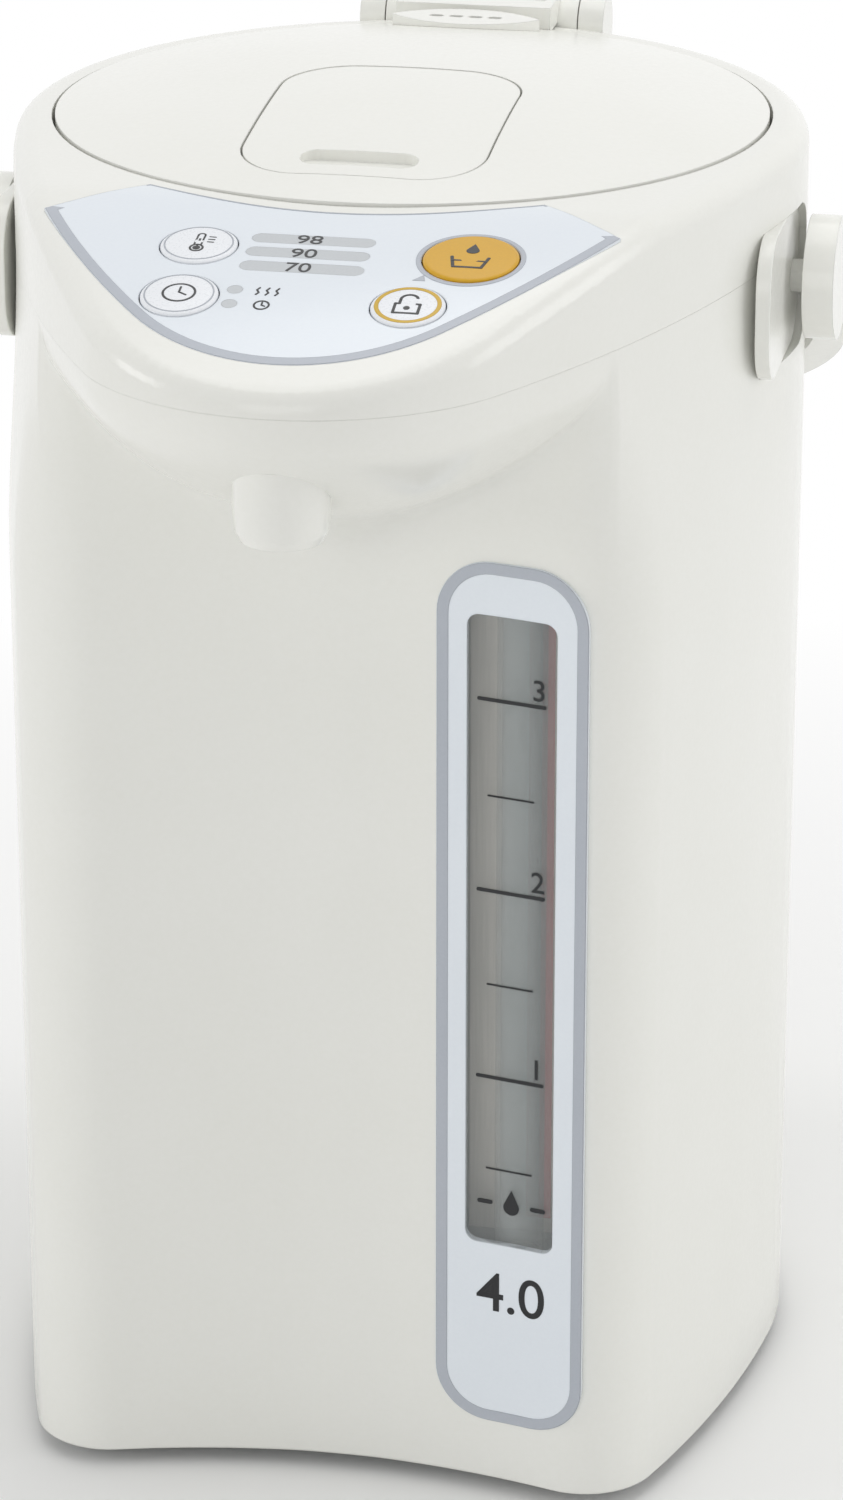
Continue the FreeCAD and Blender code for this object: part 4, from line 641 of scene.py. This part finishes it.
@dataclass
class WaterGauge:
    """The tall film round the window, its level marks and the capacity."""

    left: float = 24.8
    right: float = 62.3
    low: float = 20.0
    high: float = 242.0
    corner: float = 13.5
    litre_z: tuple[float, ...] = (112.0, 160.1, 208.2)

    def outline(self, inset: float) -> Outline:
        """The film's rounded outline, drawn in by a margin."""
        radius = self.corner - inset
        left, right = self.left + self.corner, self.right - self.corner
        low, high = self.low + self.corner, self.high - self.corner
        points = []
        for centre, start in (((right, low), -90), ((right, high), 0), ((left, high), 90),
                              ((left, low), 180)):
            points += arc_points(centre, radius, start, start + 90, 12)
        return points

    def build(self) -> None:
        """Prints the border, the level marks, the digits and the capacity."""
        border = Print("gauge_border")
        border.frame_between(self.outline(0.1), self.outline(2.9))
        border.lay(on_face, "pot", BORDER_GREY, "lens_grey", 0.07)
        marks = Print("gauge_marks")
        for litre, z in enumerate(self.litre_z, 1):
            marks.stroke((35.2, z), (51.4, z), 0.9)
            marks.text(str(litre), 7.4, 50.0, z + 3.6)
            marks.stroke((37.6, z - 24.05), (48.8, z - 24.05), 0.45)
        for start, end in ((35.8, 38.6), (49.2, 52.0)):
            marks.stroke((start, 79.0), (end, 79.0), 1.1)
        marks.polygon([(43.9, 83.0)] + arc_points((43.9, 78.4), 2.0, 25, -205, 20))
        marks.lay(on_face, "pot", INK_DARK, "dark_plastic", -0.28)
        size = Print("gauge_capacity")
        size.text("4.0", 14.6, 44.0, 54.5)
        size.lay(on_face, "pot", INK_DARK, "dark_plastic", 0.08)


def smooth_step(value: float, low: float, high: float) -> float:
    """Runs from nought at low to one at high, with soft ends."""
    share = min(1.0, max(0.0, (value - low) / (high - low)))
    return share * share * (3 - 2 * share)


def facing_radius(outline: Outline, eye_y: float, angle: float) -> float:
    """Distance from (0, eye_y) to a closed outline, looking along angle.

    Args:
        outline: the outline's points, in order.
        eye_y: where the eye stands on the middle plane.
        angle: the direction, in radians.

    Returns:
        The distance to the outline.
    """
    dx, dy = math.cos(angle), math.sin(angle)
    best = 0.0
    for (ax, ay), (bx, by) in zip(outline, outline[1:] + outline[:1]):
        ay, by = ay - eye_y, by - eye_y
        side_a, side_b = dx * ay - dy * ax, dx * by - dy * bx
        if (side_a <= 0) != (side_b <= 0):
            share = side_a / (side_a - side_b)
            away = dx * (ax + share * (bx - ax)) + dy * (ay + share * (by - ay))
            best = max(best, away)
    return best


@dataclass
class CaseShell:
    """The case: an upright wall with a hollow front, from which the beak swells without a seam."""

    bottom: float = 4.0
    seam: float = 296.0
    eye_y: float = -78.0
    rear_radius: float = 96.0
    flank_radius: float = 350.0
    corner: tuple[float, float, float] = (60.67, -86.14, 17.8)
    hollow: tuple[float, float] = (-286.82, 191.85)
    shoulder_radius: float = 96.35
    side_radius: float = 400.0
    tip_radius: float = 54.95
    tip_y: float = -114.1
    draft: float = 0.00297
    blend: float = 21.0
    blend_end: tuple[float, float] = (268.0, 293.0)
    gather_from: float = 228.0
    front_turn: tuple[float, float] = (-0.05, 0.35)
    foot_height: float = 1.05
    foot_round: float = 0.9
    wall: float = 2.3
    rise: tuple[tuple[float, float], ...] = (
        (236.0, 0.0), (247.0, 0.181), (256.0, 0.423), (264.0, 0.638), (274.0, 0.823),
        (286.0, 0.966), (296.0, 1.0))
    around: int = 400
    fine_turns: int = 1800
    window: tuple[tuple[float, ...], tuple[float, ...]] = ((31.6, -112, 67.2), (55.2, -84, 229.8))
    recess: tuple[tuple[float, ...], tuple[float, ...]] = ((91, -46.2, 269.8), (112, 6.2, 305.2))
    recess_corner: float = 12.0
    small_corner: float = 3.0
    inlet_margin: float = 2.2
    inlet_y: tuple[float, float] = (88, 104)

    def bowed_pair(self, near: tuple[float, float, float], far: tuple[float, float, float],
                   radius: float) -> tuple[float, float]:
        """Centre of the large arc that runs round two circles and bulges to +X.

        Args:
            near: x, y and radius of the first circle.
            far: x, y and radius of the second circle.
            radius: the large arc's radius.

        Returns:
            Its centre.
        """
        dx, dy = far[0] - near[0], far[1] - near[1]
        gap = math.hypot(dx, dy)
        first, second = radius - near[2], radius - far[2]
        along = (first ** 2 - second ** 2 + gap ** 2) / (2 * gap)
        side = math.sqrt(first ** 2 - along ** 2)
        return (near[0] + (along * dx + side * dy) / gap,
                near[1] + (along * dy - side * dx) / gap)

    def half_outline(self, front: tuple[float, float, float], rear: float, flank: float,
                     start: float) -> Outline:
        """Outline from the middle of the front round +X to the middle of the rear.

        Args:
            front: x, y and radius of the circle at the front corner or the tip.
            rear: radius of the rear arc about the origin.
            flank: radius of the arc along the side.
            start: the angle at which the front circle's arc starts, in degrees.

        Returns:
            The points of the front circle, the flank and the rear.
        """
        centre = self.bowed_pair((0, 0, rear), front, flank)
        turn_front = math.degrees(math.atan2(front[1] - centre[1], front[0] - centre[0]))
        turn_rear = math.degrees(math.atan2(-centre[1], -centre[0]))
        points = arc_points((front[0], front[1]), front[2], start, turn_front, 24)
        points += arc_points(centre, flank, turn_front, turn_rear, 24)[1:]
        return points + arc_points((0, 0), rear, turn_rear, 90, 60)[1:]

    def outlines(self) -> tuple[Outline, Outline]:
        """Returns the upright wall's outline and the shoulder's, both whole."""
        x, y, radius = self.corner
        down = math.degrees(math.atan2(self.hollow[0] - y, -x))
        face = math.degrees(math.atan2(y - self.hollow[0], x))
        front = arc_points((0, self.hollow[0]), self.hollow[1], 90, face, 40)
        wall = front[:-1] + self.half_outline((x, y, radius), self.rear_radius,
                                              self.flank_radius, down)
        top = self.half_outline((0.0, self.tip_y, self.tip_radius), self.shoulder_radius,
                                self.side_radius, -90.0)
        whole = []
        for half in (wall, top):
            whole.append(half + [(-px, py) for px, py in reversed(half[1:-1])])
        return whole[0], whole[1]

    def even_turns(self, wall: Outline, top: Outline) -> list[float]:
        """Directions that step evenly along both outlines.

        Args:
            wall: the upright outline.
            top: the shoulder's outline.

        Returns:
            The directions in radians, from the middle of the rear to the front and back.
        """
        fine = [math.pi / 2 - math.pi * step / self.fine_turns
                for step in range(self.fine_turns + 1)]
        run, total, last = [0.0], 0.0, None
        for turn in fine:
            spots = []
            for outline in (wall, top):
                away = facing_radius(outline, self.eye_y, turn)
                spots.append(Vector((away * math.cos(turn), away * math.sin(turn))))
            if last:
                total += sum((a - b).length for a, b in zip(spots, last))
                run.append(total)
            last = spots
        half, at = [], 0
        for step in range(self.around // 2 + 1):
            goal = total * step / (self.around // 2)
            while at < len(run) - 2 and run[at + 1] < goal:
                at += 1
            share = (goal - run[at]) / (run[at + 1] - run[at])
            half.append(fine[at] + (fine[at + 1] - fine[at]) * min(1.0, share))
        return half + [math.pi - turn for turn in reversed(half[1:-1])]

    def swell(self, z: float) -> float:
        """How far the beak has grown at height z, from nought to one."""
        marks = self.rise
        if z <= marks[0][0]:
            return 0.0
        for number in range(len(marks) - 1):
            (z0, t0), (z1, t1) = marks[number], marks[number + 1]
            if z <= z1 + 1e-6:
                before = marks[number - 1] if number else (z0 - 10.0, 0.0)
                after = marks[number + 2] if number + 2 < len(marks) else (z1 + 10.0, 1.0)
                slope0 = (t1 - before[1]) / (z1 - before[0]) * (z1 - z0)
                slope1 = (after[1] - t0) / (after[0] - z0) * (z1 - z0)
                share = (z - z0) / (z1 - z0)
                cube, square = share ** 3, share ** 2
                return ((2 * cube - 3 * square + 1) * t0 + (cube - 2 * square + share) * slope0
                        + (3 * square - 2 * cube) * t1 + (cube - square) * slope1)
        return 1.0

    def radius_at(self, wall: float, top: float, angle: float, z: float) -> float:
        """Distance of the surface from the eye.

        Args:
            wall: distance of the upright outline in this direction.
            top: distance of the shoulder's outline in this direction.
            angle: the direction.
            z: the height.

        Returns:
            The distance, with the beak blended into the wall.
        """
        upright = wall + self.draft * (z - self.bottom)
        gather = smooth_step(z, self.gather_from, self.seam)
        upright += (min(upright, top) - upright) * gather
        beak = top * self.swell(z)
        ahead = smooth_step(-math.sin(angle), *self.front_turn)
        reach = max(0.01, self.blend * ahead * (1 - smooth_step(z, *self.blend_end)))
        near = max(reach - abs(upright - beak), 0.0) / reach
        return max(upright, beak) + near * near * reach / 4

    def cutter(self, name: str, low: tuple[float, float, float],
               high: tuple[float, float, float], corner: float, axis: int) -> bpy.types.Object:
        """A block with rounded edges along one axis, to be cut out of the wall.

        Args:
            name: the cutter's name.
            low: its lowest corner.
            high: its highest corner.
            corner: radius of the rounded edges.
            axis: 0 or 1, the axis that the rounded edges run along.

        Returns:
            The cutter, an object that is deleted afterwards.
        """
        mesh = bmesh.new()
        bmesh.ops.create_cube(mesh, size=1.0, matrix=block_matrix(
            [value * MM for value in low], [value * MM for value in high]))
        along = [edge for edge in mesh.edges
                 if abs((edge.verts[0].co - edge.verts[1].co)[axis]) > 1e-6]
        bmesh.ops.bevel(mesh, geom=along, offset=corner * MM, segments=10, profile=0.5,
                        affect="EDGES", material=-1)
        return add_mesh(name, mesh)

    def levels(self) -> list[float]:
        """Returns the heights of the grid's rows: close at the foot and beak, wide between."""
        foot = [self.bottom + 0.35 * step for step in range(4)]
        plain = [6.0 + 21.8 * step for step in range(1, 11)]
        beak = [224.0 + 1.0 * step for step in range(1, 73)]
        return foot + plain + beak

    def surface(self, piece: Piece) -> None:
        """Rolls a flat grid into the wall and gives it its form.

        Args:
            piece: the piece whose mesh takes the wall.
        """
        levels = self.levels()
        wall, top = self.outlines()
        turns = self.even_turns(wall, top)
        walls = [facing_radius(wall, self.eye_y, turn) for turn in turns]
        tops = [facing_radius(top, self.eye_y, turn) for turn in turns]
        mesh = piece.mesh
        bmesh.ops.create_grid(mesh, x_segments=self.around, y_segments=len(levels) - 1, size=1.0)
        for vert in mesh.verts:
            step = round((vert.co.x + 1) / 2 * self.around) % self.around
            z = levels[round((vert.co.y + 1) / 2 * (len(levels) - 1))]
            away = self.radius_at(walls[step], tops[step], turns[step], z)
            if z < self.bottom + self.foot_height:
                away -= self.foot_round * (1 - (z - self.bottom) / self.foot_height) ** 2
            vert.co = Vector((away * math.cos(turns[step]),
                              self.eye_y + away * math.sin(turns[step]), z)) * MM
        bmesh.ops.remove_doubles(mesh, verts=mesh.verts, dist=1e-6)
        bmesh.ops.recalc_face_normals(mesh, faces=mesh.faces)
        bmesh.ops.solidify(mesh, geom=mesh.faces[:], thickness=self.wall * MM)
        bmesh.ops.recalc_face_normals(mesh, faces=mesh.faces)

    def build(self) -> bpy.types.Object:
        """Builds the wall, cuts its windows and dresses it.

        Returns:
            The object that stands for the outer case.
        """
        piece = Piece("case_wall")
        self.surface(piece)
        draft = bpy.data.meshes.new("case_draft")
        piece.mesh.to_mesh(draft)
        holder = add_object("case_draft", draft)
        low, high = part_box("inlet_socket")
        margin = self.inlet_margin
        inlet = ((low.x / MM + margin, self.inlet_y[0], low.z / MM + margin),
                 (high.x / MM - margin, self.inlet_y[1], high.z / MM - margin))
        (inner, front, under), (outer, rear, over) = self.recess
        cutters = [
            self.cutter("window_cut", *self.window, self.small_corner, 1),
            self.cutter("right_cut", *self.recess, self.recess_corner, 0),
            self.cutter("left_cut", (-outer, front, under), (-inner, rear, over),
                        self.recess_corner, 0),
            self.cutter("inlet_cut", *inlet, self.small_corner, 1),
        ]
        for tool in cutters:
            cut = holder.modifiers.new(tool.name, "BOOLEAN")
            cut.operation = "DIFFERENCE"
            cut.solver = "EXACT"
            cut.object = tool
        bpy.context.view_layer.update()
        graph = bpy.context.evaluated_depsgraph_get()
        cut_wall = bpy.data.meshes.new_from_object(holder.evaluated_get(graph))
        piece.mesh.clear()
        piece.mesh.from_mesh(cut_wall)
        for thing in [holder] + cutters:
            bpy.data.objects.remove(thing)
        return piece.place("pot", WHITE_ABS, "white_gloss", ("outer_case",), 38.0)


@dataclass
class Housing:
    """All moulded shells that show from outside, and the nodes kept from the CAD."""

    shells: tuple[Shell, ...] = (
        Shell("shoulder_ring", "pot", "white_gloss"),
        Shell("lid_shell", "lid", "white_lid"),
        Shell("lid_lever", "lid_lever", "white_lid", 0.5),
        Shell("steam_vent_cover", "lid", "white_lid", 0.4),
        Shell("lid_hinge_arm", "lid", "white_lid", 1.2),
        Shell("lid_release_slide", "lid_release", "white_lid", 0.4),
        Shell("handle_mount_left", "pot", "white_gloss", 0.8),
        Shell("handle_mount_right", "pot", "white_gloss", 0.8),
        Shell("bail_handle", "bail", "white_gloss", 2.4),
        Shell("control_panel", "pot", "panel_white", 0.25),
        Shell("gauge_panel", "pot", "panel_white", 0.5),
        Shell("gauge_window", "pot", "clear"),
        Shell("indicator_lenses", "pot", "lens_grey"),
        Shell("dispense_key", "dispense_key", "key_yellow", 0.2),
        Shell("unlock_key", "unlock_key", "key_white", 0.2),
        Shell("keep_warm_key", "keep_warm_key", "key_white", 0.2),
        Shell("timer_key", "timer_key", "key_white", 0.2),
        Shell("spout_nozzle", "pot", "white_gloss", 0.8),
        Shell("swivel_base", "base", "white_gloss", 0.4),
        Shell("gauge_tube", "pot", "glass_tube"),
    )
    band_x: tuple[float, float] = (44.4, 50.6)

    def build(self) -> None:
        """Dresses every CAD node, and puts welded shells in place of those that show."""
        for part in frame["record"]["subparts"]:
            node = frame["nodes"][part["node"]]
            node.data.materials.clear()
            node.data.materials.append(SLOT_FINISH[part["material_slot"]].material())
        CaseShell().build()
        for shell in self.shells:
            shell.build()
        self.level_band()

    def level_band(self) -> None:
        """The red band on the backing, seen through the tube."""
        low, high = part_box("gauge_strip")
        piece = Piece("level_band")
        left, right = (x * MM for x in self.band_x)
        bmesh.ops.create_cube(piece.mesh, size=1.0, matrix=block_matrix(
            (left, low.y, low.z), (right, high.y, high.z)))
        piece.place("pot", RED_STRIP, "red_strip", ("gauge_strip",))


@dataclass
class Studio:
    """Floor, lamps, white surroundings and the camera of the photograph."""

    centre: tuple[float, float, float] = (0.25941, -1.31536, 0.67119)
    azimuth: float = 11.063
    elevation: float = 21.048
    lens_mm: float = 136.0
    aim: tuple[float, float, float] = (0, 0, 0.18)
    ambient: float = 0.53
    lamps: tuple[tuple[str, tuple[float, float, float], float, float], ...] = (
        ("top_softbox", (0.1, 0.25, 1.5), 1.2, 6.6), ("right_softbox", (1.3, 0.1, 0.6), 0.8, 3.6),
        ("front_fill", (-0.15, -1.7, 0.55), 0.9, 2.9), ("left_strip", (-1.2, -0.5, 0.5), 0.5, 2.4))

    def camera(self) -> None:
        """Creates the camera at the photograph's place and angle."""
        data = bpy.data.cameras.new("photo_camera")
        data.lens = self.lens_mm
        data.sensor_width = 36.0
        data.sensor_fit = "AUTO"
        data.clip_start = 0.05
        thing = add_object("photo_camera", data)
        thing.location = self.centre
        thing.rotation_euler = (math.radians(90 - self.elevation), 0, math.radians(self.azimuth))
        bpy.context.scene.camera = thing

    def lamp(self, name: str, place: tuple[float, float, float], size: float,
             power: float) -> None:
        """Adds a soft square lamp that looks at the pot.

        Args:
            name: the lamp's name.
            place: where it stands, in metres.
            size: its side, in metres.
            power: watts.
        """
        data = bpy.data.lights.new(name, "AREA")
        data.size = size
        data.energy = power
        thing = add_object(name, data)
        thing.location = place
        aim = Vector(self.aim) - Vector(place)
        thing.rotation_euler = aim.to_track_quat("-Z", "Y").to_euler()

    def seen_white(self, tree: bpy.types.NodeTree) -> bpy.types.NodeSocket:
        """Tells rays that see the room from rays that carry its light.

        Args:
            tree: the node tree that takes the nodes.

        Returns:
            The socket that is one for rays from the camera, a mirror or glass.
        """
        rays = add_node(tree, "LightPath")
        first = add_node(tree, "Math", {"operation": "MAXIMUM"},
                         {0: rays.outputs["Is Camera Ray"], 1: rays.outputs["Is Glossy Ray"]})
        both = add_node(tree, "Math", {"operation": "MAXIMUM"},
                        {0: first.outputs[0], 1: rays.outputs["Is Transmission Ray"]})
        return both.outputs[0]

    def world(self) -> None:
        """Surrounds the pot with plain light and a white background."""
        world = bpy.data.worlds.new("white_room")
        world.use_nodes = True
        tree = world.node_tree
        tree.nodes.clear()
        strength = add_node(tree, "MapRange", {"To Min": self.ambient, "To Max": 1.0},
                            {"Value": self.seen_white(tree)})
        back = add_node(tree, "Background", {"Color": (1, 1, 1, 1)},
                        {"Strength": strength.outputs[0]})
        add_node(tree, "OutputWorld", {}, {"Surface": back.outputs[0]})
        bpy.context.scene.world = world

    def floor(self) -> None:
        """Lays a pale floor that fades to white away from the pot."""
        mesh = bmesh.new()
        bmesh.ops.create_circle(mesh, cap_ends=True, segments=96, radius=3.0)
        thing = add_mesh("floor", mesh)
        made = bpy.data.materials.new("pale_floor")
        made.use_nodes = True
        tree = made.node_tree
        tree.nodes.clear()
        place = add_node(tree, "TexCoord")
        far = add_node(tree, "VectorMath", {"operation": "LENGTH"},
                       {0: place.outputs["Object"]})
        fade = add_node(tree, "MapRange", {"From Min": 0.16, "From Max": 0.55},
                        {"Value": far.outputs["Value"]})
        seen = add_node(tree, "Math", {"operation": "MULTIPLY"},
                        {0: fade.outputs[0], 1: self.seen_white(tree)})
        matt = add_node(tree, "BsdfDiffuse", {"Color": linear("FAFAF9")})
        glow = add_node(tree, "Emission", {"Color": (1, 1, 1, 1), "Strength": 1.0})
        mix = add_node(tree, "MixShader", {}, {0: seen.outputs[0], 1: matt.outputs[0],
                                               2: glow.outputs[0]})
        add_node(tree, "OutputMaterial", {}, {"Surface": mix.outputs[0]})
        thing.data.materials.append(made)

    def build(self) -> None:
        """Sets the stage."""
        self.camera()
        self.world()
        self.floor()
        for lamp in self.lamps:
            self.lamp(*lamp)
        bpy.context.scene.view_settings.view_transform = "Standard"


def main() -> None:
    """Builds the scene in order."""
    logging.basicConfig(level=logging.INFO, format="%(name)s: %(message)s")
    Studio().build()
    Housing().build()
    ControlPanel().build()
    WaterGauge().build()


if __name__ == "__main__":
    main()
